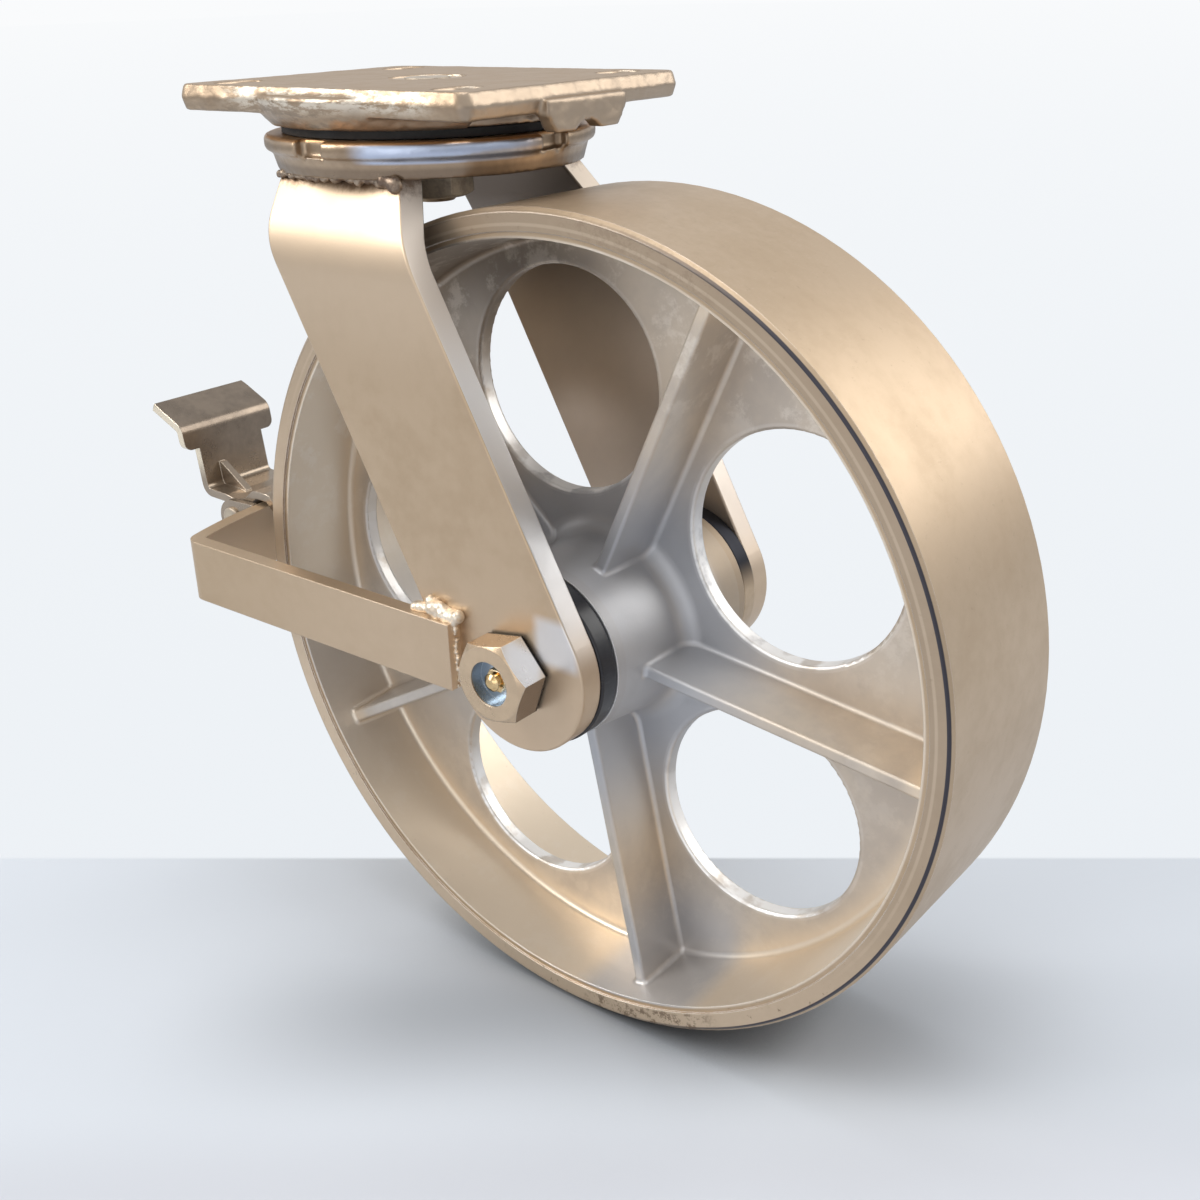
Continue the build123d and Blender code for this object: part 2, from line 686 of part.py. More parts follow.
# Weld beads run along the outside of each leg's top, in the corner under the base's foot.
with BuildPart() as leg_welds:
    for side in (-1, 1):
        top_y, top_z = bend_top(bend_outer_radius, side)
        corner_y = top_y + side * weld_clearance
        corner_z = top_z - weld_clearance
        run_start = leg_top_rear + weld_end_margin
        run_length = math.sqrt(fork_foot_radius**2 - top_y**2) + weld_end_margin
        with BuildSketch(Plane.YZ.offset(run_start)):
            with BuildLine():
                foot = (
                    corner_y + side * weld_leg_size * math.sin(bend_radians),
                    corner_z - weld_leg_size * math.cos(bend_radians),
                )
                toe = (corner_y + side * weld_leg_size, corner_z)
                belly = (
                    (foot[0] + toe[0]) / 2 + side * weld_belly,
                    (foot[1] + toe[1]) / 2 - weld_belly,
                )
                Line((corner_y, corner_z), foot)
                ThreePointArc(foot, belly, toe)
                Line(toe, (corner_y, corner_z))
            make_face()
        extrude(amount=run_length - run_start)
finish(leg_welds, "leg_welds")

# The brake band is a flat bar bent to a U round the back of the wheel, bowed across its back.
with BuildPart() as brake_band:
    with BuildSketch(Plane.XY.offset(band_bottom_z)):
        with BuildLine():
            Line((band_front_end + band_height, -band_outer), (band_rear_corner, -band_outer))
            ThreePointArc(
                (band_rear_corner, -band_outer), (band_rear, 0), (band_rear_corner, band_outer)
            )
            Line((band_rear_corner, band_outer), (band_front_end + band_height, band_outer))
            Line((band_front_end + band_height, band_outer), (band_front_end + band_height, -band_outer))
        make_face()
        fillet(vertices().group_by(Axis.X)[0], band_corner_radius)
        offset(amount=-band_thickness, kind=Kind.INTERSECTION, mode=Mode.SUBTRACT)
        with Locations((band_front_end + band_height, 0)):
            Rectangle(2 * band_height, 3 * band_outer, mode=Mode.SUBTRACT)
    extrude(amount=band_height)
finish(brake_band, "brake_band")

# The band's ends are welded to the legs' outer faces, above and in front of each end.
with BuildPart() as band_welds:
    for side in (-1, 1):
        seat_y = side * (leg_outer + weld_clearance)
        with BuildSketch(Plane.YZ.offset(band_front_end - band_weld_run)):
            with BuildLine():
                Polyline(
                    (seat_y, band_top_z + weld_clearance),
                    (seat_y + side * band_weld_size, band_top_z + weld_clearance),
                    (seat_y, band_top_z + band_weld_size),
                    close=True,
                )
            make_face()
        extrude(amount=band_weld_run)
        with BuildSketch(Plane.XY.offset(band_bottom_z)):
            with BuildLine():
                Polyline(
                    (band_front_end + weld_clearance, seat_y),
                    (band_front_end + weld_clearance, seat_y + side * band_weld_size),
                    (band_front_end + band_weld_size, seat_y),
                    close=True,
                )
            make_face()
        extrude(amount=band_height)
finish(band_welds, "band_welds")

# Two ears on the band's back carry the lever's pin.
band_bow_radius = (band_outer**2 + band_rear_bow**2) / (2 * band_rear_bow)
band_back_at_ear = band_rear + band_bow_radius - math.sqrt(band_bow_radius**2 - ear_inner**2)
with BuildPart() as lever_bracket:
    for side in (-1, 1):
        with BuildSketch(side_plane(side * ear_inner)):
            with Locations((lever_pin_x, lever_pin_z)):
                Circle(ear_lobe_radius)
            with Locations((band_back_at_ear - side_clearance, band_top_z - ear_height / 2)):
                Rectangle(ear_seat_width, ear_height, align=(Align.MAX, Align.CENTER))
            make_hull()
            with Locations((lever_pin_x, lever_pin_z)):
                Circle(lever_pin_diameter / 2 + shaft_clearance, mode=Mode.SUBTRACT)
        extrude(amount=-side * ear_thickness)
finish(lever_bracket, "lever_bracket")

# The lever's pin has a low round head on the near side and a push-on clip on the far side.
with BuildPart() as lever_pin:
    with BuildSketch(side_plane(ear_outer + clip_thickness + pin_end_showing)):
        with Locations((lever_pin_x, lever_pin_z)):
            Circle(lever_pin_diameter / 2)
    extrude(amount=2 * ear_outer + clip_thickness + pin_end_showing)
    with BuildSketch(side_plane(-ear_outer)):
        with Locations((lever_pin_x, lever_pin_z)):
            Circle(lever_pin_head_radius)
    extrude(amount=lever_pin_head_height)
    fillet(lever_pin.edges().sort_by(Axis.Y)[0], lever_pin_head_height / 2)
finish(lever_pin, "lever_pin")

with BuildPart() as pin_clip:
    with BuildSketch(side_plane(ear_outer)):
        with Locations((lever_pin_x, lever_pin_z)):
            Circle(clip_radius)
            Circle(lever_pin_diameter / 2 + shaft_clearance, mode=Mode.SUBTRACT)
    extrude(amount=-clip_thickness)
finish(pin_clip, "pin_clip")

# The brake lever is one bent strip: pedal, stem, foot, rolled eye, and an arm over the band
# whose end is the shoe that presses on the tread.
shoe_reach = math.sqrt(wheel_radius**2 - (lever_pin_z + shoe_heel[1] - axle_z) ** 2) + shoe_gap
shoe_tip = (wheel_trail - shoe_reach - lever_pin_x, shoe_heel[1])
lever_plane = Plane(
    origin=(lever_pin_x, pedal_half_width, lever_pin_z), x_dir=(1, 0, 0), z_dir=(0, -1, 0)
)
pedal_height = pedal_top[1] - pedal_bottom + lever_sheet
with BuildPart() as brake_lever:
    with BuildSketch(lever_plane):
        with BuildLine():
            FilletPolyline(
                pedal_top,
                pedal_fold,
                stem_foot,
                foot_middle,
                (0, lever_pin_diameter / 2 + lever_sheet / 2),
                arm_rise,
                arm_start,
                arm_end,
                arm_knee,
                shoe_heel,
                shoe_tip,
                radius=lever_bend_radius,
            )
        trace(line_width=lever_sheet)
        Circle(lever_pin_diameter / 2 + lever_eye_wall)
    extrude(amount=2 * pedal_half_width)
    outline_plane = Plane(
        origin=(lever_pin_x + pedal_top[0] - lever_sheet, 0, lever_pin_z + pedal_bottom),
        x_dir=(0, 1, 0),
        z_dir=(1, 0, 0),
    )
    with BuildSketch(outline_plane):
        with Locations((0, pedal_height / 2)):
            RectangleRounded(2 * pedal_half_width, pedal_height, pedal_corner_radius)
        Rectangle(2 * lever_half_width, 2 * pedal_height, align=(Align.CENTER, Align.MAX))
    extrude(amount=shoe_tip[0] - pedal_top[0] + 2 * lever_sheet, mode=Mode.INTERSECT)
    with BuildSketch(lever_plane.offset(pedal_half_width + gusset_offset - gusset_width / 2)):
        with BuildLine():
            Polyline(
                stem_foot,
                (stem_foot[0], stem_foot[1] + gusset_height),
                (stem_foot[0] + lever_sheet / 2, stem_foot[1] + gusset_height),
                (stem_foot[0] + gusset_length, foot_middle[1] + lever_sheet / 2),
                (stem_foot[0] + gusset_length, foot_middle[1]),
                close=True,
            )
        make_face()
    extrude(amount=gusset_width)
    with BuildSketch(lever_plane):
        Circle(lever_pin_diameter / 2 + shaft_clearance)
    extrude(amount=2 * pedal_half_width, mode=Mode.SUBTRACT)
finish(brake_lever, "brake_lever")
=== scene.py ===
# %% [markdown]
# A heavy duty plate castor: a forged top plate with a swivel head, a fork of flat bar, an all-metal
# spoked wheel and a foot brake. Its solids come from the frame, so this lesson gives them their
# finish, adds what a solid modeller leaves out, and lights the castor as in a product picture.

# %% Load the frame
import bpy
import math
import random
from mathutils import Matrix, Vector


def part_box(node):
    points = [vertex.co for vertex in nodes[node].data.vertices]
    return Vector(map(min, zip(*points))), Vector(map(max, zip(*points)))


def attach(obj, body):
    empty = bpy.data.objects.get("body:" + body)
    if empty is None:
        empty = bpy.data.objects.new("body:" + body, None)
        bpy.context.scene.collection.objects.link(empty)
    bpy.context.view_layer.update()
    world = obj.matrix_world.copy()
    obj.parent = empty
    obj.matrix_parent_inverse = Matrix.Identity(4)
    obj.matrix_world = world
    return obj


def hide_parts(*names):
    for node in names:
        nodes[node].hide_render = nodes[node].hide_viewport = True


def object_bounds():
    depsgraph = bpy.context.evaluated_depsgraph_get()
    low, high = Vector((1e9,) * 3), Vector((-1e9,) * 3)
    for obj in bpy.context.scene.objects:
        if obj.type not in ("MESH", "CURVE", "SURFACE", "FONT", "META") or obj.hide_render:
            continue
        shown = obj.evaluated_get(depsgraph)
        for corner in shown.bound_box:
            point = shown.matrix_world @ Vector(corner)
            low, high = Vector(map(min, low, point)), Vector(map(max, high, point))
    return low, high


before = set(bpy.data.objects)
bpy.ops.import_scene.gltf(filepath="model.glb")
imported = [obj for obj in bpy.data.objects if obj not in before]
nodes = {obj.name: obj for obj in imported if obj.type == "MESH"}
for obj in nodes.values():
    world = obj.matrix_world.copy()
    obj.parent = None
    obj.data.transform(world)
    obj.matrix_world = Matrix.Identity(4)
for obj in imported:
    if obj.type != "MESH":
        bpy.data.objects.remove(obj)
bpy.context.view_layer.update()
print("pieces from the frame:", len(nodes))

# %% [markdown]
# The camera comes first. It stands a little above the top plate, to the right and in front, and
# looks down at the axle. Its back direction follows from two angles, and a third rolls it slightly.

# %% Camera
CAMERA_PLACE = Vector((0.37443, -0.37519, 0.02862))
CAMERA_AZIMUTH = math.radians(39.03)
CAMERA_ELEVATION = math.radians(23.38)
CAMERA_ROLL = math.radians(1.65)
CAMERA_LENS = 42.88
SENSOR_WIDTH = 36.0


def camera_turn(azimuth, elevation, roll):
    """The camera's turn: its three axes as the columns of a matrix."""
    back = Vector((
        math.sin(azimuth) * math.cos(elevation),
        -math.cos(azimuth) * math.cos(elevation),
        math.sin(elevation),
    ))
    right = Vector((0, 0, 1)).cross(back).normalized()
    up = back.cross(right)
    rolled_right = math.cos(roll) * right - math.sin(roll) * up
    rolled_up = math.sin(roll) * right + math.cos(roll) * up
    return Matrix((rolled_right, rolled_up, back)).transposed()


camera_data = bpy.data.cameras.new("camera")
camera_data.lens = CAMERA_LENS
camera_data.sensor_width = SENSOR_WIDTH
camera_data.clip_start = 0.01
camera = bpy.data.objects.new("camera", camera_data)
bpy.context.scene.collection.objects.link(camera)
camera.location = CAMERA_PLACE
camera.rotation_mode = "QUATERNION"
camera.rotation_quaternion = camera_turn(
    CAMERA_AZIMUTH, CAMERA_ELEVATION, CAMERA_ROLL
).to_quaternion()
bpy.context.scene.camera = camera
bpy.context.scene.view_settings.view_transform = "Standard"
print("camera stands at", tuple(round(v, 3) for v in CAMERA_PLACE))

# %% [markdown]
# Materials are written as node trees. A few small helpers keep that short: one adds a node and fills
# its inputs, with a value or with another node's output, some do arithmetic on values and colours,
# and one opens a node group with named sockets.

# %% Node helpers
MM = 1000.0


def put(tree, kind, settings=None, **inputs):
    """Adds a node to a tree. Inputs are filled by name, and an output socket is linked."""
    node = tree.nodes.new(kind)
    for name, value in (settings or {}).items():
        setattr(node, name, value)
    for name, value in inputs.items():
        key = int(name[1:]) if name[0] == "n" and name[1:].isdigit() else name.replace("_", " ")
        fill(tree, node.inputs[key], value)
    return node


def fill(tree, socket, value):
    """Links a socket to an output, or sets its value."""
    if isinstance(value, bpy.types.NodeSocket):
        tree.links.new(value, socket)
    elif isinstance(value, (tuple, list)) and len(value) == 3 and socket.type == "RGBA":
        socket.default_value = (*value, 1.0)
    else:
        socket.default_value = value


def maths(tree, operation, first, second=0.0, clamp=False):
    """One step of arithmetic on one or two values."""
    settings = {"operation": operation, "use_clamp": clamp}
    return put(tree, "ShaderNodeMath", settings, n0=first, n1=second).outputs[0]


def product(tree, first, *others):
    """Multiplies values, so that a mask is high only where all its factors are."""
    for other in others:
        first = maths(tree, "MULTIPLY", first, other)
    return first


def blend_colours(tree, factor, first, second):
    """Mixes two colours by a factor."""
    node = put(tree, "ShaderNodeMix", {"data_type": "RGBA"})
    fill(tree, node.inputs[0], factor)
    fill(tree, node.inputs[6], first)
    fill(tree, node.inputs[7], second)
    return node.outputs[2]


def ramp(tree, value, low, high, to_low=0.0, to_high=1.0):
    """Carries a value smoothly from one range to another."""
    node = put(tree, "ShaderNodeMapRange", {"interpolation_type": "SMOOTHSTEP"})
    for socket, number in zip(node.inputs, (value, low, high, to_low, to_high)):
        fill(tree, socket, number)
    return node.outputs[0]


def noise(tree, where, scale, detail, roughness=0.5):
    """Cloud-like noise, as one value."""
    node = put(tree, "ShaderNodeTexNoise", Vector=where, Scale=scale, Detail=detail, Roughness=roughness)
    return node.outputs[0]


def vector_maths(tree, operation, first, second=(0.0, 0.0, 0.0)):
    """One step of arithmetic on two vectors. Gives the node's outputs."""
    return put(tree, "ShaderNodeVectorMath", {"operation": operation}, n0=first, n1=second).outputs


def own_normal(tree):
    """The direction that a surface faces, in the castor's own axes."""
    return put(tree, "ShaderNodeTexCoord").outputs["Normal"]


def facing(tree):
    """The three parts of that direction."""
    return put(tree, "ShaderNodeSeparateXYZ", n0=own_normal(tree)).outputs


def new_group(name, inputs, outputs):
    """A node group with named inputs {name: (kind, value)} and outputs {name: kind}."""
    group = bpy.data.node_groups.new(name, "ShaderNodeTree")
    for label, (kind, value) in inputs.items():
        socket = group.interface.new_socket(name=label, in_out="INPUT", socket_type=kind)
        if value is not None:
            socket.default_value = value
    for label, kind in outputs.items():
        group.interface.new_socket(name=label, in_out="OUTPUT", socket_type=kind)
    return group, group.nodes.new("NodeGroupInput"), group.nodes.new("NodeGroupOutput")


def use(tree, group, **inputs):
    """Places a node group in a tree, with its own values, and gives its outputs."""
    node = tree.nodes.new("ShaderNodeGroup")
    node.node_tree = group
    for name, value in inputs.items():
        fill(tree, node.inputs[name.replace("_", " ")], value)
    return node.outputs


VALUE, VECTOR, COLOUR = "NodeSocketFloat", "NodeSocketVector", "NodeSocketColor"

# %% [markdown]
# The castor's pieces are cast, forged or bent steel with one warm plated finish. What they share is
# made once, as node groups: cloudy plating, the fine pits of cast or forged skin, soft scuffs, a
# soft strip between two values that marks off a part of a surface, softened edges, a screw thread,
# and every place in millimetres, with its distance from the axle and from the swivel's axis.

# %% Shared effect: cloudy plating
cloud, c_in, c_out = new_group(
    "cloudy_plating",
    {
        "Vector": (VECTOR, None),
        "Size": (VALUE, 12.0),
        "Light": (COLOUR, (0.5, 0.4, 0.3, 1)),
        "Dark": (COLOUR, (0.4, 0.3, 0.2, 1)),
    },
    {"Color": COLOUR, "Mask": VALUE},
)
big_scale = maths(cloud, "DIVIDE", MM, c_in.outputs["Size"])
big = noise(cloud, c_in.outputs["Vector"], big_scale, 6.0, 0.62)
small = noise(cloud, c_in.outputs["Vector"], maths(cloud, "MULTIPLY", big_scale, 7.0), 3.0)
both = maths(cloud, "ADD", maths(cloud, "MULTIPLY", big, 0.75), maths(cloud, "MULTIPLY", small, 0.25))
mask = ramp(cloud, both, 0.38, 0.64)
colour = blend_colours(cloud, mask, c_in.outputs["Light"], c_in.outputs["Dark"])
cloud.links.new(colour, c_out.inputs["Color"])
cloud.links.new(mask, c_out.inputs["Mask"])

# %% Shared effect: the pitted skin of cast and forged metal
skin, s_in, s_out = new_group(
    "cast_skin",
    {"Vector": (VECTOR, None), "Grain": (VALUE, 0.7), "Waves": (VALUE, 9.0), "Pits": (VALUE, 0.5)},
    {"Height": VALUE, "Pit Mask": VALUE},
)
grain_scale = maths(skin, "DIVIDE", MM, s_in.outputs["Grain"])
grain = noise(skin, s_in.outputs["Vector"], grain_scale, 3.0, 0.6)
waves = noise(skin, s_in.outputs["Vector"], maths(skin, "DIVIDE", MM, s_in.outputs["Waves"]), 2.0)
cell_size = maths(skin, "MULTIPLY", s_in.outputs["Grain"], 4.0)
cells = put(
    skin, "ShaderNodeTexVoronoi", Vector=s_in.outputs["Vector"],
    Scale=maths(skin, "DIVIDE", MM, cell_size), Randomness=1.0,
)
pit = maths(skin, "MULTIPLY", ramp(skin, cells.outputs[0], 0.28, 0.06), s_in.outputs["Pits"])
fine = maths(skin, "ADD", maths(skin, "MULTIPLY", grain, 0.35), waves)
height = maths(skin, "SUBTRACT", fine, maths(skin, "MULTIPLY", pit, 0.5))
skin.links.new(height, s_out.inputs["Height"])
skin.links.new(pit, s_out.inputs["Pit Mask"])

# %% Shared effect: scuffs that run one way
scuff, f_in, f_out = new_group(
    "scuffs",
    {
        "Vector": (VECTOR, None),
        "Stretch": (VECTOR, (1, 1, 12)),
        "Size": (VALUE, 3.0),
        "Amount": (VALUE, 0.5),
    },
    {"Mask": VALUE},
)
stretched = vector_maths(scuff, "MULTIPLY", f_in.outputs["Vector"], f_in.outputs["Stretch"])[0]
streak = noise(scuff, stretched, maths(scuff, "DIVIDE", MM, f_in.outputs["Size"]), 4.0, 0.7)
patch = noise(scuff, f_in.outputs["Vector"], 45.0, 2.0)
marks = product(scuff, ramp(scuff, streak, 0.56, 0.7), ramp(scuff, patch, 0.45, 0.6), f_in.outputs["Amount"])
scuff.links.new(marks, f_out.inputs["Mask"])

# %% Shared effect: a soft strip between two values
strip, b_in, b_out = new_group(
    "soft_strip",
    {"Value": (VALUE, 0.0), "From": (VALUE, 0.0), "To": (VALUE, 1.0), "Softness": (VALUE, 0.5)},
    {"Mask": VALUE},
)
before = maths(strip, "SUBTRACT", b_in.outputs["From"], b_in.outputs["Softness"])
after = maths(strip, "ADD", b_in.outputs["To"], b_in.outputs["Softness"])
rise = ramp(strip, b_in.outputs["Value"], before, b_in.outputs["From"])
fall = ramp(strip, b_in.outputs["Value"], b_in.outputs["To"], after, 1.0, 0.0)
strip.links.new(maths(strip, "MULTIPLY", rise, fall), b_out.inputs["Mask"])


def within(tree, value, start, end, softness):
    """A mask that is high between two values, with soft ends."""
    return use(tree, strip, Value=value, From=start, To=end, Softness=softness)["Mask"]


# %% Shared effect: softened edges
edge, e_in, e_out = new_group(
    "soft_edge", {"Radius": (VALUE, 0.0006)}, {"Normal": VECTOR, "Mask": VALUE}
)
rounded = put(edge, "ShaderNodeBevel", {"samples": 4}, Radius=e_in.outputs["Radius"])
flat = put(edge, "ShaderNodeNewGeometry").outputs["Normal"]
turn = vector_maths(edge, "DOT_PRODUCT", rounded.outputs[0], flat)["Value"]
edge.links.new(rounded.outputs[0], e_out.inputs["Normal"])
# The mask is high along edges, and the metals paint a highlight there.
edge.links.new(ramp(edge, turn, 0.985, 0.80), e_out.inputs["Mask"])

# %% Shared effect: a screw thread
thread, h_in, h_out = new_group(
    "screw_thread",
    {"Along": (VALUE, 0.0), "First": (VALUE, 0.0), "Second": (VALUE, 0.0), "Pitch": (VALUE, 2.0)},
    {"Height": VALUE},
)
angle = maths(thread, "ARCTAN2", h_in.outputs["First"], h_in.outputs["Second"])
full_turn = maths(thread, "DIVIDE", angle, math.tau)
turns = maths(thread, "ADD", maths(thread, "DIVIDE", h_in.outputs["Along"], h_in.outputs["Pitch"]), full_turn)
thread.links.new(maths(thread, "PINGPONG", turns, 0.5), h_out.inputs["Height"])

# %% Shared effect: places in millimetres, and about the axle
AXLE_X = 0.0775
AXLE_Z = -0.1845
place, p_in, p_out = new_group(
    "castor_place",
    {"Vector": (VECTOR, None)},
    {"X": VALUE, "Y": VALUE, "Z": VALUE, "Axle Radius": VALUE, "Swivel Radius": VALUE},
)
parts = put(place, "ShaderNodeSeparateXYZ", n0=p_in.outputs[0]).outputs
across = maths(place, "SUBTRACT", parts[0], AXLE_X)
along = maths(place, "SUBTRACT", parts[2], AXLE_Z)


def length_of(first, second):
    """The length of a two-way step, in millimetres."""
    squares = maths(place, "ADD", product(place, first, first), product(place, second, second))
    return maths(place, "MULTIPLY", maths(place, "SQRT", squares), MM)


for label, value in (("X", parts[0]), ("Y", parts[1]), ("Z", parts[2])):
    place.links.new(maths(place, "MULTIPLY", value, MM), p_out.inputs[label])
place.links.new(length_of(across, along), p_out.inputs["Axle Radius"])
place.links.new(length_of(parts[0], parts[1]), p_out.inputs["Swivel Radius"])
print("shared effects:", [g.name for g in bpy.data.node_groups])

# %% [markdown]
# Every metal here starts the same way: cloudy plating for the colour, the pitted skin for the relief,
# scuffs that change the gloss and lighten the colour, and a painted highlight along every edge. One
# function writes that start and hands back the tree, so that each piece can then add the marks of its
# own making and its own painted light and shade.

# %% The start of a plated metal
CHAMPAGNE_LIGHT = (0.515, 0.390, 0.268)
CHAMPAGNE_DARK = (0.465, 0.348, 0.233)
WEAR_AND_HIGHLIGHT_COLOUR = (0.78, 0.70, 0.60)
PIT_COLOUR = (0.20, 0.14, 0.09)


def plated(
    name, light=CHAMPAGNE_LIGHT, dark=CHAMPAGNE_DARK, cloud_size=30.0, grain=0.7, waves=9.0, pits=0.1,
    relief=0.12, gloss=0.36, scuffs=0.25, stretch=(1, 1, 12), metallic=0.8, edge_highlight=0.45,
):
    """A plated steel or iron: its tree, shader, colour, roughness and places, for later steps."""
    material = bpy.data.materials.new(name)
    material.use_nodes = True
    tree = material.node_tree
    shader = tree.nodes["Principled BSDF"]
    where = put(tree, "ShaderNodeTexCoord").outputs["Object"]
    colour = use(tree, cloud, Vector=where, Size=cloud_size, Light=(*light, 1), Dark=(*dark, 1))
    relief_skin = use(tree, skin, Vector=where, Grain=grain, Waves=waves, Pits=pits)
    marks = use(tree, scuff, Vector=where, Stretch=stretch, Amount=scuffs)["Mask"]
    soft = use(tree, edge)
    roughness = maths(tree, "ADD", gloss, product(tree, colour["Mask"], 0.06))
    roughness = maths(tree, "SUBTRACT", roughness, product(tree, marks, 0.10))
    shade = blend_colours(tree, product(tree, marks, 0.30), colour["Color"], WEAR_AND_HIGHLIGHT_COLOUR)
    shade = blend_colours(tree, product(tree, relief_skin["Pit Mask"], 0.40), shade, PIT_COLOUR)
    # Painted highlight: every edge, convex or concave, is lightened where the bevel's mask is high.
    shade = blend_colours(tree, product(tree, soft["Mask"], edge_highlight), shade, WEAR_AND_HIGHLIGHT_COLOUR)
    bump = put(
        tree, "ShaderNodeBump", Strength=relief, Distance=0.0004,
        Height=relief_skin["Height"], Normal=soft["Normal"],
    )
    shader.inputs["Metallic"].default_value = metallic
    tree.links.new(bump.outputs[0], shader.inputs["Normal"])
    return {
        "material": material, "tree": tree, "shader": shader, "colour": shade, "roughness": roughness,
        "place": use(tree, place, Vector=where), "where": where, "edge": soft["Mask"], "bump": bump,
    }


def tint(metal, colour, *masks):
    """Lays a colour over a metal where all its masks are high."""
    tree = metal["tree"]
    metal["colour"] = blend_colours(tree, product(tree, *masks), metal["colour"], colour)


def finish_metal(metal):
    """Links the last colour and roughness of a metal and gives the material."""
    fill(metal["tree"], metal["shader"].inputs["Base Color"], metal["colour"])
    fill(metal["tree"], metal["shader"].inputs["Roughness"], metal["roughness"])
    return metal["material"]


def paint(material, *names):
    """Gives a material to pieces of the frame."""
    for name in names:
        mesh = nodes[name].data
        mesh.materials.clear()
        mesh.materials.append(material)
    print(material.name, "on", ", ".join(names))


# %% [markdown]
# The wheel is cast iron in one piece. The web is a little paler than the tread, the well next to the
# rim is painted palest, as painted light reflected from the lit web, a bluish grey patch lies low in
# the well, and the hub is bluish grey. All places are measured from the axle, so the finish turns with
# the wheel.

# %% Wheel: web, well and hub
WEB_LIGHT = (0.62, 0.535, 0.44, 1)
WEB_DARK = (0.53, 0.46, 0.39, 1)
WELL_PAINTED_LIGHT = (0.76, 0.64, 0.50)
LOW_WELL_COLOUR = (0.46, 0.475, 0.51)
HUB_COLOUR = (0.455, 0.475, 0.515)
wheel = plated(
    "cast_wheel", cloud_size=34.0, grain=1.1, waves=10.0, pits=0.05, relief=0.16, gloss=0.36, metallic=0.65,
)
t, p = wheel["tree"], wheel["place"]
radius = p["Axle Radius"]
side = maths(t, "ABSOLUTE", p["Y"])
inside = product(t, ramp(t, side, 34.6, 34.2), ramp(t, radius, 141.2, 140.4))
web = use(t, cloud, Vector=wheel["where"], Size=40.0, Light=WEB_LIGHT, Dark=WEB_DARK)["Color"]
tint(wheel, web, inside)
# Painted light: the well next to the rim is made palest, standing in for the lit web's reflection.
tint(wheel, WELL_PAINTED_LIGHT, inside, ramp(t, radius, 128.0, 137.0))
underneath = product(t, ramp(t, p["Z"], -275.0, -305.0), within(t, p["X"], 92.0, 128.0, 14.0))
tint(wheel, LOW_WELL_COLOUR, underneath, inside, 0.7)
hub_part = maths(t, "MAXIMUM", ramp(t, radius, 92.0, 44.0), ramp(t, side, 34.8, 35.2))
near_hub = product(t, hub_part, ramp(t, radius, 110.0, 90.0))
tint(wheel, HUB_COLOUR, near_hub, ramp(t, p["Y"], 30.0, 15.0), 0.85)

# %% [markdown]
# The lips of the holes, on the side that faces one light direction, and every sharp edge get painted
# highlights, near white and broken up by noise. The distance to the nearest hole marks the lips, and
# the bevel's mask the edges. The holes' sizes are those of the solid.

# %% Wheel: painted highlights on lips and edges
HOLE_COUNT = 5
HOLE_RADIUS = 40.0
HOLE_PITCH_RADIUS = 88.0
HOLE_PHASE = math.radians(29.5)
FAR_AWAY = 1000.0
LIP_LIGHT = Vector((0.42, -0.30, 0.86))
LIP_HIGHLIGHT_COLOUR = (1.0, 0.99, 0.98)
WHEEL_EDGE_HIGHLIGHT = (1.0, 0.97, 0.93)
highlight_noise = noise(t, wheel["where"], 90.0, 4.0)
to_hole = FAR_AWAY
for step in range(HOLE_COUNT):
    angle = HOLE_PHASE + step * math.tau / HOLE_COUNT
    off_x = maths(t, "SUBTRACT", p["X"], AXLE_X * MM + HOLE_PITCH_RADIUS * math.cos(angle))
    off_z = maths(t, "SUBTRACT", p["Z"], AXLE_Z * MM + HOLE_PITCH_RADIUS * math.sin(angle))
    squares = maths(t, "ADD", product(t, off_x, off_x), product(t, off_z, off_z))
    to_hole = maths(t, "MINIMUM", to_hole, maths(t, "SQRT", squares))
lip = within(t, to_hole, HOLE_RADIUS - 1.0, HOLE_RADIUS + 1.8, 0.6)
catching = ramp(t, vector_maths(t, "DOT_PRODUCT", own_normal(t), LIP_LIGHT)["Value"], 0.15, 0.75)
# Painted highlight on the lips of the holes, on the side that faces LIP_LIGHT.
tint(wheel, LIP_HIGHLIGHT_COLOUR, lip, catching, ramp(t, highlight_noise, 0.36, 0.50, 0.25, 1.0), 0.85)
# Painted highlight along the wheel's sharp edges, broken up by noise.
tint(wheel, WHEEL_EDGE_HIGHLIGHT, ramp(t, wheel["edge"], 0.15, 0.75), ramp(t, highlight_noise, 0.40, 0.55, 0.45, 1.0), 0.8)

# %% [markdown]
# The rim's face was turned on a lathe. Its light and shade are painted: painted shade at the upper
# right runs to painted light at the lower left, and fine painted dark and light rings on the shaded
# part stand in for light on the turned steps. A near black painted shade line runs along the outer
# edge on the right, and painted shade darkens the well at the upper left.

# %% Wheel: the rim
RIM_PAINTED_SHADE = (0.40, 0.325, 0.255)
RIM_PAINTED_LIGHT = (0.98, 0.83, 0.66)
RIM_PAINTED_RINGS = (
    (139.4, 140.9, 0.7, (0.74, 0.64, 0.52)),
    (141.6, 143.9, 0.85, (0.22, 0.18, 0.15)),
    (144.3, 144.9, 0.7, (0.72, 0.63, 0.52)),
    (145.3, 148.3, 0.75, (0.20, 0.165, 0.14)),
)
RIM_SHADE_LINE = (148.0, 148.9)
RIM_SHADE_LINE_COLOUR = (0.035, 0.037, 0.055)
SHADED_WELL = (0.20, 0.17, 0.15)
on_rim = product(t, ramp(t, side, 34.5, 36.0), ramp(t, radius, 138.5, 139.5))
leftward = product(t, maths(t, "SUBTRACT", p["X"], AXLE_X * MM), -0.5 / 150.0)
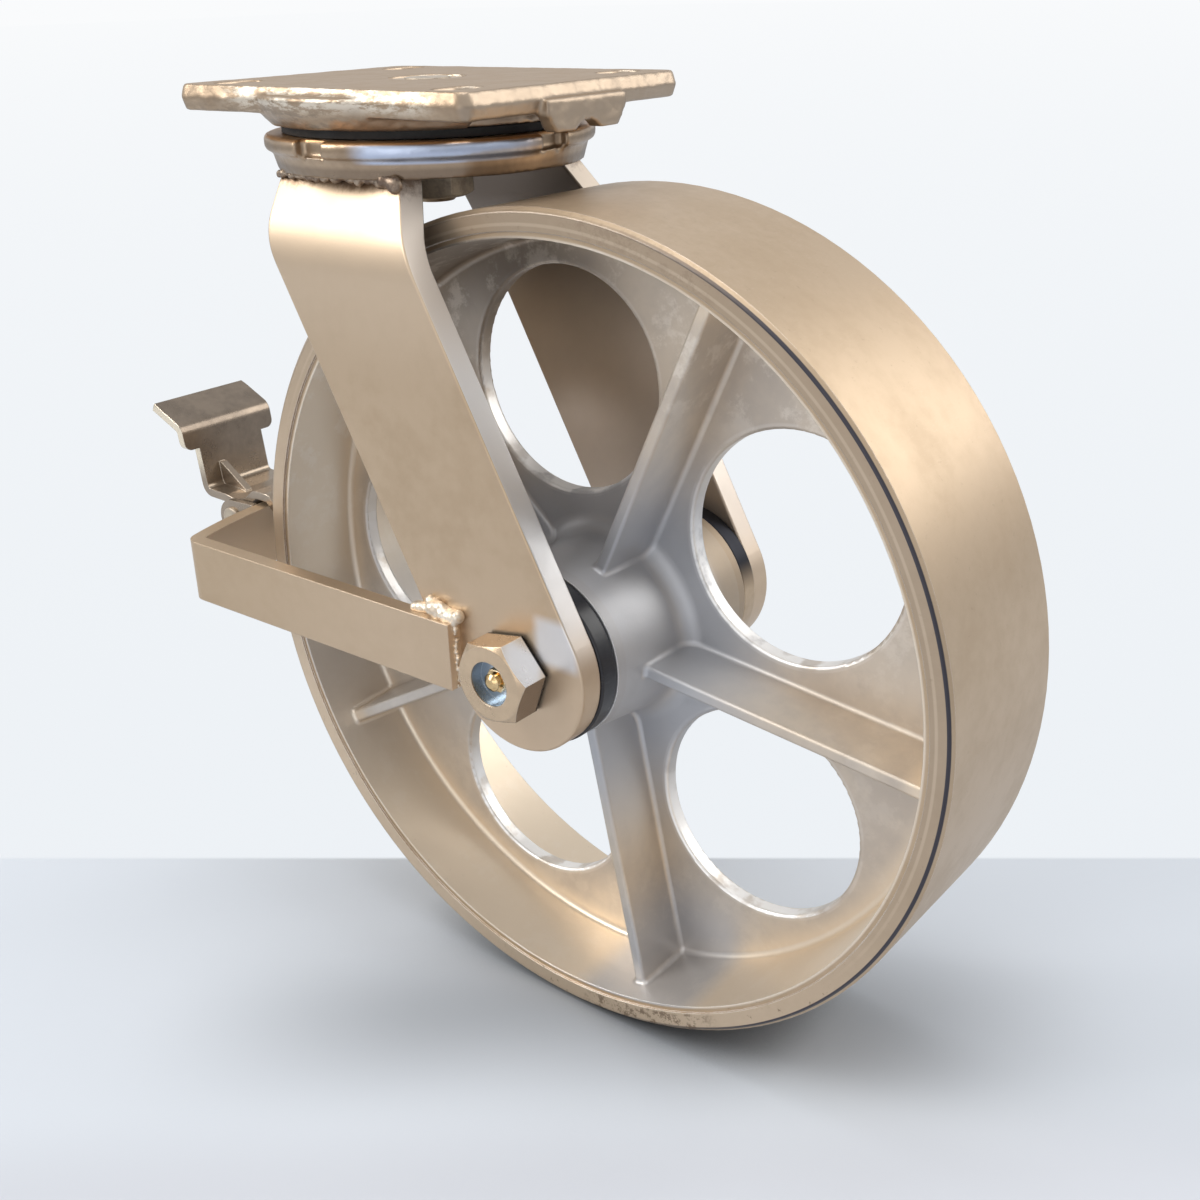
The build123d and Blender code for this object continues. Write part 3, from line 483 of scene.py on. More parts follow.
downward = product(t, maths(t, "SUBTRACT", p["Z"], AXLE_Z * MM), -0.85 / 150.0)
low_left = maths(t, "ADD", leftward, downward)
# Painted shade at the upper right of the rim's face, painted light at the lower left.
rim_light_and_shade = blend_colours(t, ramp(t, low_left, -0.5, 0.9), RIM_PAINTED_SHADE, RIM_PAINTED_LIGHT)
tint(wheel, rim_light_and_shade, on_rim, 0.9)
upper_right = product(t, on_rim, ramp(t, low_left, 0.25, -0.45))
# Painted dark and light rings: the light and shade of the turned steps.
for line_from, line_to, amount, line_colour in RIM_PAINTED_RINGS:
    tint(wheel, line_colour, within(t, radius, line_from, line_to, 0.45), upper_right, amount)
# Painted shade in the well at the upper left.
tint(wheel, SHADED_WELL, ramp(t, p["Z"], -105.0, -60.0), ramp(t, p["X"], 95.0, 40.0), inside, 0.7)
rightward = product(t, ramp(t, side, 33.2, 33.8), ramp(t, p["X"], 90.0, 170.0, 0.15, 0.95))
# Painted shade: a near black line along the rim's outer edge on the right.
tint(wheel, RIM_SHADE_LINE_COLOUR, within(t, radius, *RIM_SHADE_LINE, 0.25), rightward)

# %% [markdown]
# Last come pale blotches on the web, a cooler grey patch low on the left, brown specks near the rim,
# many where the wheel stands, and a browner hub on the far side.

# %% Wheel: blotches, specks and the far hub
BLOTCH_COLOUR = (0.86, 0.79, 0.70)
COOL_WEB = (0.50, 0.49, 0.49)
SPECK_COLOUR = (0.17, 0.11, 0.07)
FAR_HUB_COLOUR = (0.34, 0.265, 0.19)
blotch = ramp(t, noise(t, wheel["where"], 62.0, 8.0, 0.72), 0.50, 0.60)
by_height = ramp(t, p["Z"], -190.0, -120.0, 0.12, 0.40)
tint(wheel, BLOTCH_COLOUR, blotch, ramp(t, radius, 85.0, 110.0), inside, by_height)
low = product(t, ramp(t, p["Z"], -290.0, -220.0), ramp(t, p["Z"], -185.0, -225.0))
tint(wheel, COOL_WEB, ramp(t, p["X"], 45.0, -25.0), low, inside, 0.5)
speck_noise = noise(t, wheel["where"], 330.0, 5.0, 0.8)
few = product(t, ramp(t, speck_noise, 0.62, 0.68), ramp(t, radius, 139.0, 142.0))
rusty = product(t, within(t, p["X"], 95.0, 135.0, 14.0), within(t, radius, 143.5, 149.0, 1.5))
many = product(t, ramp(t, speck_noise, 0.50, 0.58), rusty)
specks = maths(t, "MAXIMUM", few, many)
tint(wheel, SPECK_COLOUR, specks, ramp(t, p["Z"], -250.0, -290.0, 0.25, 1.0), 0.75)
tint(wheel, FAR_HUB_COLOUR, ramp(t, p["Y"], 16.0, 24.0), ramp(t, radius, 62.0, 54.0), 0.8)
wheel["roughness"] = maths(t, "ADD", wheel["roughness"], product(t, near_hub, 0.10))
paint(finish_metal(wheel), "wheel")

# %% [markdown]
# The top plate is forged, which leaves a coarse skin. Faces that look towards +X get painted light,
# and those at the plate's right side then get painted shade. Streaks of painted highlight run along
# its front edge, painted shade lies on the boss below the plate, and the flat top is darker and duller.

# %% Finish of the top plate
PLATE_COLOURS = {"light": (0.415, 0.310, 0.215), "dark": (0.335, 0.248, 0.170)}
RIGHT_FACE_PAINTED_LIGHT = (0.60, 0.47, 0.35)
FRONT_EDGE_HIGHLIGHT = (0.90, 0.83, 0.71)
RIGHT_EDGE_PAINTED_SHADE = (0.36, 0.285, 0.215)
PLATE_TOP_COLOUR = (0.335, 0.245, 0.165)
BOSS_PAINTED_SHADE = (0.16, 0.13, 0.10)
plate = plated(
    "forged_plate", **PLATE_COLOURS, cloud_size=18.0, grain=1.0, waves=5.0, pits=0.25, relief=0.35,
    gloss=0.34, scuffs=0.5,
)
t, p = plate["tree"], plate["place"]
toward = facing(t)
# Painted light on the faces that look towards +X.
tint(plate, RIGHT_FACE_PAINTED_LIGHT, ramp(t, toward[0], 0.45, 0.85), 0.7)
stretched = vector_maths(t, "MULTIPLY", plate["where"], (1.0, 1.0, 3.5))[0]
streak_noise = noise(t, stretched, 110.0, 8.0, 0.75)
front_edge = product(
    t, within(t, p["X"], -32.0, 44.0, 16.0), ramp(t, toward[1], -0.30, -0.60), ramp(t, p["Z"], -9.0, -4.0)
)
# Painted highlight: bright streaks along the plate's front edge.
tint(plate, FRONT_EDGE_HIGHLIGHT, ramp(t, streak_noise, 0.44, 0.56), front_edge, 0.65)
# Painted shade on the faces at the plate's right side that look towards +X.
tint(plate, RIGHT_EDGE_PAINTED_SHADE, ramp(t, toward[0], 0.25, 0.60), ramp(t, p["X"], 40.0, 52.0), 0.75)
flat_top = ramp(t, toward[2], 0.90, 0.98)
tint(plate, PLATE_TOP_COLOUR, flat_top, 0.8)
boss = product(t, ramp(t, p["Z"], -4.0, -9.0), ramp(t, p["X"], 25.0, 5.0))
# Painted shade on the boss below the plate's edge, broken up by noise.
tint(plate, BOSS_PAINTED_SHADE, ramp(t, streak_noise, 0.54, 0.42), boss, 0.5)
plate["roughness"] = maths(t, "ADD", plate["roughness"], product(t, flat_top, 0.10))
paint(finish_metal(plate), "top_plate")

# %% [markdown]
# The fork's base is forged too, then turned round its band. A bluish painted reflection lies on the
# band at the front, painted shade on its lower wall, and straw brown along its upper edge, as heat
# leaves it.

# %% Finish of the fork's base
BAND_REFLECTION_BLUE = (0.53, 0.62, 0.80)
LOW_WALL_SHADE = (0.17, 0.125, 0.09)
HEAT_COLOUR = (0.60, 0.30, 0.10)
base = plated(
    "forged_base", **PLATE_COLOURS, cloud_size=16.0, grain=0.8, waves=7.0, pits=0.1, relief=0.2, gloss=0.28,
)
t, p = base["tree"], base["place"]
RING_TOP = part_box("fork_base")[1].z * MM
round_band = within(t, p["Z"], RING_TOP - 6.5, RING_TOP - 1.5, 1.0)
band_front = product(t, within(t, p["X"], 24.0, 58.0, 9.0), ramp(t, p["Y"], -4.0, -22.0))
# Painted reflection: a bluish sheen on the front of the band.
tint(base, BAND_REFLECTION_BLUE, round_band, band_front, 0.85)
# Painted shade on the base's lower wall, which faces down.
tint(base, LOW_WALL_SHADE, ramp(t, p["Z"], RING_TOP - 7.5, RING_TOP - 9.5), 0.6)
upper_edge = ramp(t, p["Z"], RING_TOP - 1.2, RING_TOP - 0.5)
tint(base, HEAT_COLOUR, upper_edge, ramp(t, p["Swivel Radius"], 50.5, 51.5), 0.6)
paint(finish_metal(base), "fork_base")

# %% [markdown]
# The legs are rolled flat bar, smoother than the forgings, with sheared edges that are bright and
# bluish, and a painted highlight on them that is whitest at the top and stronger on the near leg. A
# painted highlight lightens the top of each leg, and painted light its lower part. Welding heat leaves
# a brown bloom just below the weld, painted shade darkens the inner faces near the top, and a painted
# reflection lies beside the axle's head.

# %% Finish of the legs
LEG_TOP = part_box("fork_leg_near")[1].z * MM
SHEARED_EDGE_HIGHLIGHT = (1.0, 1.0, 1.0)
SHEARED_LOW = (0.60, 0.615, 0.645)
LEG_TOP_HIGHLIGHT = (0.68, 0.54, 0.40)
LEG_FOOT_PAINTED_LIGHT = (0.66, 0.51, 0.37)
HEAD_REFLECTION_COLOUR = (0.74, 0.76, 0.80)
HEAD_REFLECTION_CENTRE = (96.5, -170.0)
BLOOM_COLOUR = (0.17, 0.095, 0.050)
INNER_COLOUR = (0.60, 0.52, 0.45)
INNER_FACE_SHADE = (0.10, 0.085, 0.075)
leg = plated(
    "flat_bar", cloud_size=40.0, grain=0.6, waves=16.0, pits=0.03, relief=0.06, gloss=0.35, stretch=(9, 9, 1),
)
t, p = leg["tree"], leg["place"]
sideways = facing(t)[1]
sheared = ramp(t, maths(t, "ABSOLUTE", sideways), 0.45, 0.30)
# Painted highlight on the sheared edges: white at the top, grey steel lower down.
sheared_tone_and_highlight = blend_colours(t, ramp(t, p["Z"], -150.0, -60.0), SHEARED_LOW, SHEARED_EDGE_HIGHLIGHT)
# The painted highlight is stronger on the near leg than on the far one.
near_leg_stronger = ramp(t, p["Y"], 10.0, -10.0, 0.45, 0.9)
tint(leg, sheared_tone_and_highlight, sheared, ramp(t, p["Z"], -185.0, -160.0), near_leg_stronger)
# Painted highlight: the light of the leg's bend carried further down its top.
tint(leg, LEG_TOP_HIGHLIGHT, ramp(t, p["Z"], -95.0, -60.0), 0.6)
# Painted light: the leg's lower part is made lighter, for the light it reflects.
tint(leg, LEG_FOOT_PAINTED_LIGHT, ramp(t, p["Z"], -130.0, -215.0), 0.6)
# Painted reflection: a soft pale patch on the leg beside the axle's head.
off_x = maths(t, "ABSOLUTE", maths(t, "SUBTRACT", p["X"], HEAD_REFLECTION_CENTRE[0]))
off_z = maths(t, "ABSOLUTE", maths(t, "SUBTRACT", p["Z"], HEAD_REFLECTION_CENTRE[1]))
patch = product(t, ramp(t, off_x, 11.0, 6.5), ramp(t, off_z, 10.5, 6.0), ramp(t, p["Y"], -55.5, -55.9))
tint(leg, HEAD_REFLECTION_COLOUR, patch, 0.7)
ragged = product(t, maths(t, "SUBTRACT", noise(t, leg["where"], 160.0, 5.0, 0.7), 0.5), 12.0)
tint(leg, BLOOM_COLOUR, ramp(t, maths(t, "ADD", p["Z"], ragged), LEG_TOP - 5.5, LEG_TOP - 1.5), 0.75)
inward = ramp(t, product(t, sideways, maths(t, "SIGN", p["Y"])), -0.1, -0.5)
tint(leg, INNER_COLOUR, inward, 0.6)
# Painted shade on the inner faces near the top of the legs.
tint(leg, INNER_FACE_SHADE, inward, ramp(t, p["Z"], LEG_TOP - 75.0, LEG_TOP - 20.0), 0.85)
dull_edge = product(t, sheared, ramp(t, p["Z"], -130.0, -70.0), 0.65)
t.links.new(maths(t, "SUBTRACT", 0.8, dull_edge), leg["shader"].inputs["Metallic"])
paint(finish_metal(leg), "fork_leg_near", "fork_leg_far")

# %% [markdown]
# The brake band is the same bar. It is browner at the back, cream on the inner face of its back, and
# painted shade darkens the inside of its far arm.

# %% Finish of the brake band
BAND_BACK_COLOUR = (0.455, 0.335, 0.215)
BAND_FRONT_COLOUR = (0.60, 0.465, 0.335)
BAND_INNER_COLOUR = (0.82, 0.68, 0.53)
FAR_ARM_SHADE = (0.40, 0.30, 0.205)
band = plated(
    "band_bar", cloud_size=34.0, grain=0.6, waves=14.0, pits=0.03, relief=0.06, gloss=0.37, stretch=(1, 1, 9),
)
t, p = band["tree"], band["place"]
toward = facing(t)
lengthwise = blend_colours(t, ramp(t, p["X"], -100.0, 45.0), BAND_BACK_COLOUR, BAND_FRONT_COLOUR)
tint(band, lengthwise, 0.55)
tint(band, BAND_INNER_COLOUR, ramp(t, toward[0], 0.4, 0.8), 0.8)
# Painted shade on the inner face of the far arm.
tint(band, FAR_ARM_SHADE, ramp(t, toward[1], -0.3, -0.8), ramp(t, p["Y"], 20.0, 40.0), 0.8)
paint(finish_metal(band), "brake_band")

# %% [markdown]
# The brake lever is pressed from sheet, darker and glossier. Its cut end faces are cream.

# %% Finish of the lever and its bracket
PIN_Z = -181.0
LOW_LEVER_COLOUR = (0.46, 0.375, 0.285)
CUT_FACE_COLOUR = (0.88, 0.77, 0.60)
sheet = plated(
    "pressed_sheet", light=(0.265, 0.212, 0.165), dark=(0.19, 0.152, 0.12), cloud_size=20.0, grain=0.4,
    waves=18.0, pits=0.0, relief=0.05, gloss=0.22, stretch=(1, 9, 1), edge_highlight=0.7,
)
t, p = sheet["tree"], sheet["place"]
tint(sheet, LOW_LEVER_COLOUR, ramp(t, p["Z"], PIN_Z + 27.0, PIN_Z + 12.0), 0.4)
end_face = ramp(t, facing(t)[1], -0.5, -0.8)
tint(sheet, CUT_FACE_COLOUR, end_face, ramp(t, p["Z"], PIN_Z + 12.0, PIN_Z + 24.0), 0.85)
paint(finish_metal(sheet), "brake_lever", "lever_bracket")

# %% [markdown]
# The axle bolt is warm zinc. One facet of its head carries a painted highlight and one painted shade,
# the recess round the nipple is bluish, and painted shadow makes the narrow gap behind the head black.
# Its end beyond the nut is threaded: the thread group lifts the surface along a helix.

# %% Finish of the axle bolt
HIGHLIT_FACET = Vector((0.82, 0.0, 0.57))
SHADED_FACET = Vector((0.87, 0.0, -0.49))
HIGHLIT_FACET_COLOUR = (0.97, 0.98, 1.0)
SHADED_FACET_COLOUR = (0.22, 0.19, 0.17)
RECESS_COLOUR = (0.40, 0.46, 0.52)
GAP_PAINTED_SHADOW = (0.012, 0.012, 0.015)
HEAD_FACE_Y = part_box("axle_bolt")[0].y * MM
BARE_END = (71.3, 71.6)
THREAD_PITCH = 2.0
THREAD_DEPTH = 0.0016
bolt = plated(
    "bolt_zinc", light=(0.60, 0.455, 0.31), dark=(0.52, 0.395, 0.27), cloud_size=14.0, grain=0.1, pits=0.0,
    relief=0.01, gloss=0.22, scuffs=0.1, metallic=0.8,
)
t, p = bolt["tree"], bolt["place"]
outward = own_normal(t)
on_head = ramp(t, p["Axle Radius"], 11.5, 12.5)
# A painted highlight on one facet of the head and painted shade on another.
for direction, facet_colour, amount in (
    (HIGHLIT_FACET, HIGHLIT_FACET_COLOUR, 1.0), (SHADED_FACET, SHADED_FACET_COLOUR, 0.7),
):
    aimed = vector_maths(t, "DOT_PRODUCT", outward, direction)["Value"]
    tint(bolt, facet_colour, ramp(t, aimed, 0.80, 0.93), on_head, amount)
in_recess = within(t, p["Y"], HEAD_FACE_Y + 0.8, HEAD_FACE_Y + 14.0, 0.3)
tint(bolt, RECESS_COLOUR, in_recess, ramp(t, p["Axle Radius"], 8.6, 8.2))
# Painted shadow: the narrow gap behind the head is made black.
tint(bolt, GAP_PAINTED_SHADOW, ramp(t, p["Y"], -57.9, -57.4), ramp(t, p["Y"], -40.0, -50.0))
helix = use(
    t, thread, Along=p["Y"], Pitch=THREAD_PITCH,
    First=maths(t, "SUBTRACT", p["X"], AXLE_X * MM), Second=maths(t, "SUBTRACT", p["Z"], AXLE_Z * MM),
)["Height"]
bare_end = ramp(t, p["Y"], *BARE_END)
ridge = put(
    t, "ShaderNodeBump", Strength=bare_end, Distance=THREAD_DEPTH, Height=helix, Normal=bolt["bump"].outputs[0],
)
t.links.new(ridge.outputs[0], bolt["shader"].inputs["Normal"])
paint(finish_metal(bolt), "axle_bolt")

# %% [markdown]
# The other small pieces need no more than the plated start, each with its own colours, clouds and
# gloss: bright zinc, darker steel, brass for the nipple, ground steel for what rolls, weld metal,
# black washers and the seal's rubber.

# %% Finish of the small pieces
INK_LIGHT = (0.012, 0.0125, 0.018)
zinc = plated(
    "bright_zinc", light=(0.56, 0.50, 0.42), dark=(0.47, 0.42, 0.35), cloud_size=10.0, grain=0.5, pits=0.0,
    relief=0.04, gloss=0.26, scuffs=0.2, metallic=0.9,
)
paint(finish_metal(zinc), "axle_nut", "axle_nut_washer", "pin_clip")
pin = plated("king_pin_steel", light=(0.52, 0.44, 0.34), dark=(0.34, 0.28, 0.22), cloud_size=6.0, gloss=0.38)
paint(finish_metal(pin), "king_pin", "king_pin_nut", "lever_pin")
brass = plated(
    "nipple_brass", light=(0.80, 0.60, 0.33), dark=(0.50, 0.34, 0.16), cloud_size=3.0, gloss=0.14,
    relief=0.03, metallic=1.0,
)
paint(finish_metal(brass), "grease_nipple")
ball = plated(
    "ground_steel", light=(0.60, 0.60, 0.60), dark=(0.50, 0.50, 0.51), cloud_size=8.0, gloss=0.14,
    relief=0.02, pits=0.0, scuffs=0.1, metallic=1.0,
)
paint(finish_metal(ball), "main_balls", "lower_race", "bearing_rollers", "spanner_bushing")
cage = plated(
    "cage_steel", light=(0.45, 0.43, 0.40), dark=(0.34, 0.32, 0.30), cloud_size=8.0, gloss=0.3,
    relief=0.05, pits=0.0,
)
paint(finish_metal(cage), "bearing_cage")

# %% Finish of the welds, the washers and the seal
weld = plated(
    "weld_metal", light=(0.90, 0.82, 0.70), dark=(0.62, 0.50, 0.37), cloud_size=9.0, grain=0.4, waves=2.5,
    pits=0.05, relief=0.25, gloss=0.30, scuffs=0.1, metallic=0.7, edge_highlight=0.2,
)
paint(finish_metal(weld), "band_welds")
burnt_weld = plated(
    "burnt_weld", light=(0.46, 0.37, 0.28), dark=(0.16, 0.11, 0.08), cloud_size=9.0, grain=0.5, waves=2.5,
    pits=0.2, relief=0.3, gloss=0.34, scuffs=0.1, metallic=0.8, edge_highlight=0.1,
)
paint(finish_metal(burnt_weld), "leg_welds")
washer = plated(
    "dark_washer", light=INK_LIGHT, dark=(0.006, 0.006, 0.010), cloud_size=14.0, gloss=0.30,
    relief=0.05, pits=0.0, scuffs=0.3, metallic=0.0, edge_highlight=0.1,
)
paint(finish_metal(washer), "thrust_washer_near")
# Painted light: the far washer, a twin of the black near one, is plated tan where lit and black on its upper
# part.
far_washer = plated("far_washer_lit", cloud_size=14.0, gloss=0.34, relief=0.05, pits=0.0, scuffs=0.3)
upper = ramp(far_washer["tree"], far_washer["place"]["Z"], AXLE_Z * MM + 2.0, AXLE_Z * MM + 14.0)
tint(far_washer, INK_LIGHT, upper)
paint(finish_metal(far_washer), "thrust_washer_far")
rubber = plated(
    "seal_rubber", light=(0.012, 0.011, 0.010), dark=(0.006, 0.006, 0.006), cloud_size=5.0, gloss=0.6,
    relief=0.1, pits=0.0, scuffs=0.0, metallic=0.0, edge_highlight=0.0,
)
paint(finish_metal(rubber), "swivel_seal")

# %% [markdown]
# A forging is never quite flat. The plate and the fork's base get a copy of their solid with a finer
# mesh, smoothed a little and pushed in and out by noise: wide low lumps all over, and smaller but
# higher ones on the edges, which are picked out by the way they face.

# %% Forged skins
FORGING_VOXEL = 0.0008
FLAT_LUMP_SIZE = 0.010
EDGE_LUMP_SIZE = 0.0045
SAME_PLACE = 0.00001
LEVEL_ENOUGH = 0.75


def fine_copy(name, node, smoothing):
    """A copy of a frame node's mesh, closed, made finer and a little softer."""
    piece = bpy.data.objects.new(name, nodes[node].data.copy())
    bpy.context.scene.collection.objects.link(piece)
    bpy.ops.object.select_all(action="DESELECT")
    piece.select_set(True)
    bpy.context.view_layer.objects.active = piece
    bpy.ops.object.mode_set(mode="EDIT")
    bpy.ops.mesh.select_all(action="SELECT")
    bpy.ops.mesh.remove_doubles(threshold=SAME_PLACE)
    bpy.ops.object.mode_set(mode="OBJECT")
    soften(piece, FORGING_VOXEL, smoothing)
    return piece


def soften(piece, voxel, smoothing):
    """Gives the active piece an even mesh and smooths it."""
    even = piece.modifiers.new("even", "REMESH")
    even.mode = "VOXEL"
    even.voxel_size = voxel
    softer = piece.modifiers.new("softer", "SMOOTH")
    softer.iterations = smoothing
    for modifier in ("even", "softer"):
        bpy.ops.object.modifier_apply(modifier=modifier)


def forge(name, node, body, smoothing, flat_height, edge_height):
    """Makes a piece that stands for a frame node, with the uneven skin of a forging."""
    piece = fine_copy(name, node, smoothing)
    edges = piece.vertex_groups.new(name="edges")
    steep = [v.index for v in piece.data.vertices if abs(v.normal.z) < LEVEL_ENOUGH]
    edges.add(steep, 1.0, "REPLACE")
    for label, size, height, group in (
        ("flat", FLAT_LUMP_SIZE, flat_height, ""), ("edge", EDGE_LUMP_SIZE, edge_height, "edges"),
    ):
        pattern = bpy.data.textures.new(f"{name}_{label}_lumps", "CLOUDS")
        pattern.noise_scale = size
        pattern.noise_depth = 3
        lumps = piece.modifiers.new(label, "DISPLACE")
        lumps.texture = pattern
        lumps.texture_coords = "LOCAL"
        lumps.vertex_group = group
        lumps.strength = height
        bpy.ops.object.modifier_apply(modifier=label)
    piece.vertex_groups.clear()
    bpy.ops.object.shade_smooth()
    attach(piece, body)
    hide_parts(node)
    print(name, "has", len(piece.data.polygons), "faces")


forge("plate_forging", "top_plate", "mount_head", 2, 0.0003, 0.0006)
forge("base_forging", "fork_base", "fork", 1, 0.0002, 0.0003)

# %% [markdown]
# A weld bead is a row of frozen droplets. Each bead here is laid down as a row of uneven balls, which
# a remesh melts together. The same recipe makes the leg's bead under the base, the heavy bead on the
# brake band's top edge and the fine one down its end, on both sides of the castor.


# %% Weld beads
def droplet(centre, radius, chance):
    """One ball of weld metal, a little out of place and out of round. Sizes are in millimetres."""
    shift = Vector([chance.uniform(-0.35, 0.35) * radius for _ in range(3)])
    bpy.ops.mesh.primitive_ico_sphere_add(
        subdivisions=2, radius=radius / MM, location=(Vector(centre) + shift) / MM,
        scale=[chance.uniform(0.85, 1.2) for _ in range(3)],
    )
    return bpy.context.object


def bead(start, end, pitch, radius, chance):
    """A row of droplets from one place to another."""
    run = Vector(end) - Vector(start)
    count = max(2, round(run.length / pitch))
    return [
        droplet(Vector(start) + run * step / (count - 1), radius * chance.uniform(0.75, 1.2), chance)
        for step in range(count)
    ]


def melt(name, drops, node, voxel, metal, smoothing):
    """Joins droplets into one smooth piece that stands for a weld node."""
    bpy.ops.object.select_all(action="DESELECT")
    for drop in drops:
        drop.select_set(True)
    bpy.context.view_layer.objects.active = drops[0]
    bpy.ops.object.join()
    piece = bpy.context.object
    piece.name = name
    bpy.ops.object.transform_apply(location=True, rotation=True, scale=True)
    soften(piece, voxel, smoothing)
    bpy.ops.object.shade_smooth()
    piece.data.materials.clear()
    piece.data.materials.append(metal["material"])
    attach(piece, "fork")
    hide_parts(node)
    print(name, "has", len(piece.data.polygons), "faces")


# %% [markdown]
# The beads are set out from the leg's top and from the band's end, in millimetres: along the band,
# out from the leg's face and up from the band's top, then the pitch of the droplets and their radius.

# %% Lay the beads
LEG_FACE = 56.0
BAND_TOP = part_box("brake_band")[1].z * MM
BAND_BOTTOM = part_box("brake_band")[0].z * MM
BAND_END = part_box("brake_band")[1].x * MM
BAND_BEADS = (
    ((-20.0, 1.0, 0.0), (0.0, 2.4, 0.8), 1.5, 2.1),
    ((-10.0, 1.4, 3.4), (1.0, 1.8, 1.8), 1.6, 2.7),
    ((-12.0, 0.8, 5.6), (-7.0, 1.0, 3.5), 1.6, 1.7),
    ((0.4, 2.6, 0.0), (0.2, 2.6, BAND_BOTTOM + 0.8 - BAND_TOP), 2.1, 1.0),
)


def on_band(side, offsets):
    """A place at the band's front end, on one side of the castor."""
    return BAND_END + offsets[0], side * (LEG_FACE + offsets[1]), BAND_TOP + offsets[2]


for side_name, side, seed in (("near", -1, 4), ("far", 1, 9)):
    chance = random.Random(seed)
    drops = bead((-28.0, side * 46.0, LEG_TOP - 0.6), (28.0, side * 46.0, LEG_TOP - 0.4), 1.6, 1.6, chance)
    drops += bead((21.0, side * 45.8, LEG_TOP - 1.0), (28.5, side * 45.2, LEG_TOP - 0.8), 1.8, 2.6, chance)
    melt(f"leg_bead_{side_name}", drops, "leg_welds", 0.0005, burnt_weld, 8)
    chance = random.Random(seed + 20)
    drops = []
    for start, end, pitch, radius in BAND_BEADS:
        drops += bead(on_band(side, start), on_band(side, end), pitch, radius, chance)
    melt(f"band_bead_{side_name}", drops, "band_welds", 0.0004, weld, 5)

# %% [markdown]
# The castor stands on a plain pale floor. Along one straight line, level with the picture, the floor
# gives way to a paler backdrop that fades to white. The line is where the plane through the camera
# and one row of the picture meets the floor, so a dot product tells on which side a place lies.

# %% Places on the floor
PICTURE_SIZE = 1200
FLOOR_LINE_ROW = 860
FLOOR_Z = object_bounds()[0].z - 0.0002
turn = camera_turn(CAMERA_AZIMUTH, CAMERA_ELEVATION, CAMERA_ROLL)
line_slope = (FLOOR_LINE_ROW - PICTURE_SIZE / 2) / PICTURE_SIZE * SENSOR_WIDTH / CAMERA_LENS
above = turn @ Vector((0.0, 1.0, -line_slope)).normalized()
ahead = Vector((-turn.col[2].x, -turn.col[2].y, 0.0)).normalized()
to_camera = CAMERA_PLACE - Vector((0.0, 0.0, FLOOR_Z))


def floor_place(column, row):
    """The place on the floor that a point of the picture shows."""
    scale = SENSOR_WIDTH / CAMERA_LENS / PICTURE_SIZE
    ray = turn @ Vector(((column - PICTURE_SIZE / 2) * scale, (PICTURE_SIZE / 2 - row) * scale, -1.0))
    return CAMERA_PLACE + ray * (FLOOR_Z - CAMERA_PLACE.z) / ray.z


def row_distance(row):
    """How far ahead of the camera a row of the picture meets the floor."""
    return (floor_place(PICTURE_SIZE / 2, row) - CAMERA_PLACE).dot(ahead)


bpy.ops.object.select_all(action="DESELECT")
bpy.ops.mesh.primitive_plane_add(size=40.0, location=(0, 0, FLOOR_Z))
floor = bpy.context.object
floor.name = "floor"
print("floor at", round(FLOOR_Z, 4))

# %% [markdown]
# Two kinds of shade are added to the real shadow. A large soft oval lies under the castor, placed
# and sized in the picture. Close to whatever stands on the floor, ambient occlusion darkens it, and
# that shade follows the wheel when the fork turns.

# %% Shade on the floor
SHADE_CENTRE = (625, 1012)
SHADE_HALF = (520, 125)
SHADE_DEPTH = 0.36
CONTACT_REACH = 0.028
CONTACT_DEPTH = 0.40


def oval(tree, where, centre, half, depth):
    """A soft oval of shade on the floor, placed and sized in the picture."""
    middle = floor_place(*centre)
    wide = floor_place(centre[0] + half[0], centre[1]) - middle
    deep = floor_place(centre[0], centre[1] + half[1]) - middle
    shift = vector_maths(tree, "SUBTRACT", where, Vector((middle.x, middle.y, 0.0)))[0]
    masks = []
    for axis, inner in ((wide, 0.35), (deep, 0.0)):
        along = vector_maths(tree, "DOT_PRODUCT", shift, axis / axis.length_squared)["Value"]
        masks.append(ramp(tree, maths(tree, "ABSOLUTE", along), 1.0, inner))
    return product(tree, *masks, depth)


floor_material = bpy.data.materials.new("pale_floor")
floor_material.use_nodes = True
t = floor_material.node_tree
where = put(t, "ShaderNodeTexCoord").outputs["Object"]
covered = put(t, "ShaderNodeAmbientOcclusion", {"samples": 8}, Distance=CONTACT_REACH).outputs["AO"]
contact = product(t, ramp(t, covered, 0.85, 0.25), CONTACT_DEPTH)
shaded = maths(t, "ADD", oval(t, where, SHADE_CENTRE, SHADE_HALF, SHADE_DEPTH), contact)

# %% [markdown]
# The backdrop glows for camera rays only, so it lights nothing. Far from the castor the floor glows
# the same way, which keeps it pale in views from other sides.

# %% Colours of the floor and the backdrop
FLOOR_COLOUR = (0.650, 0.690, 0.750)
NEAR_FLOOR_SHADE = (0.590, 0.615, 0.670)
NEAR_FLOOR_ROWS = (1090, 1190)
BACKDROP_LOW = (0.850, 0.884, 0.920)
BACKDROP_HIGH = (0.955, 0.965, 0.975)
BACKDROP_START = 0.55
BACKDROP_FADE = 2.2
FAR_COLOUR = (0.80, 0.835, 0.875)
FAR_FLOOR = (0.60, 1.30)
LINE_SOFTNESS = 0.0015
offset = vector_maths(t, "SUBTRACT", where, to_camera)[0]
height_seen = vector_maths(t, "DOT_PRODUCT", offset, above)["Value"]
distance = vector_maths(t, "DOT_PRODUCT", offset, ahead)["Value"]
beyond = ramp(t, height_seen, 0.0, LINE_SOFTNESS)
past_start = maths(t, "SUBTRACT", distance, BACKDROP_START)
fade = maths(t, "DIVIDE", past_start, maths(t, "ADD", distance, BACKDROP_FADE), clamp=True)
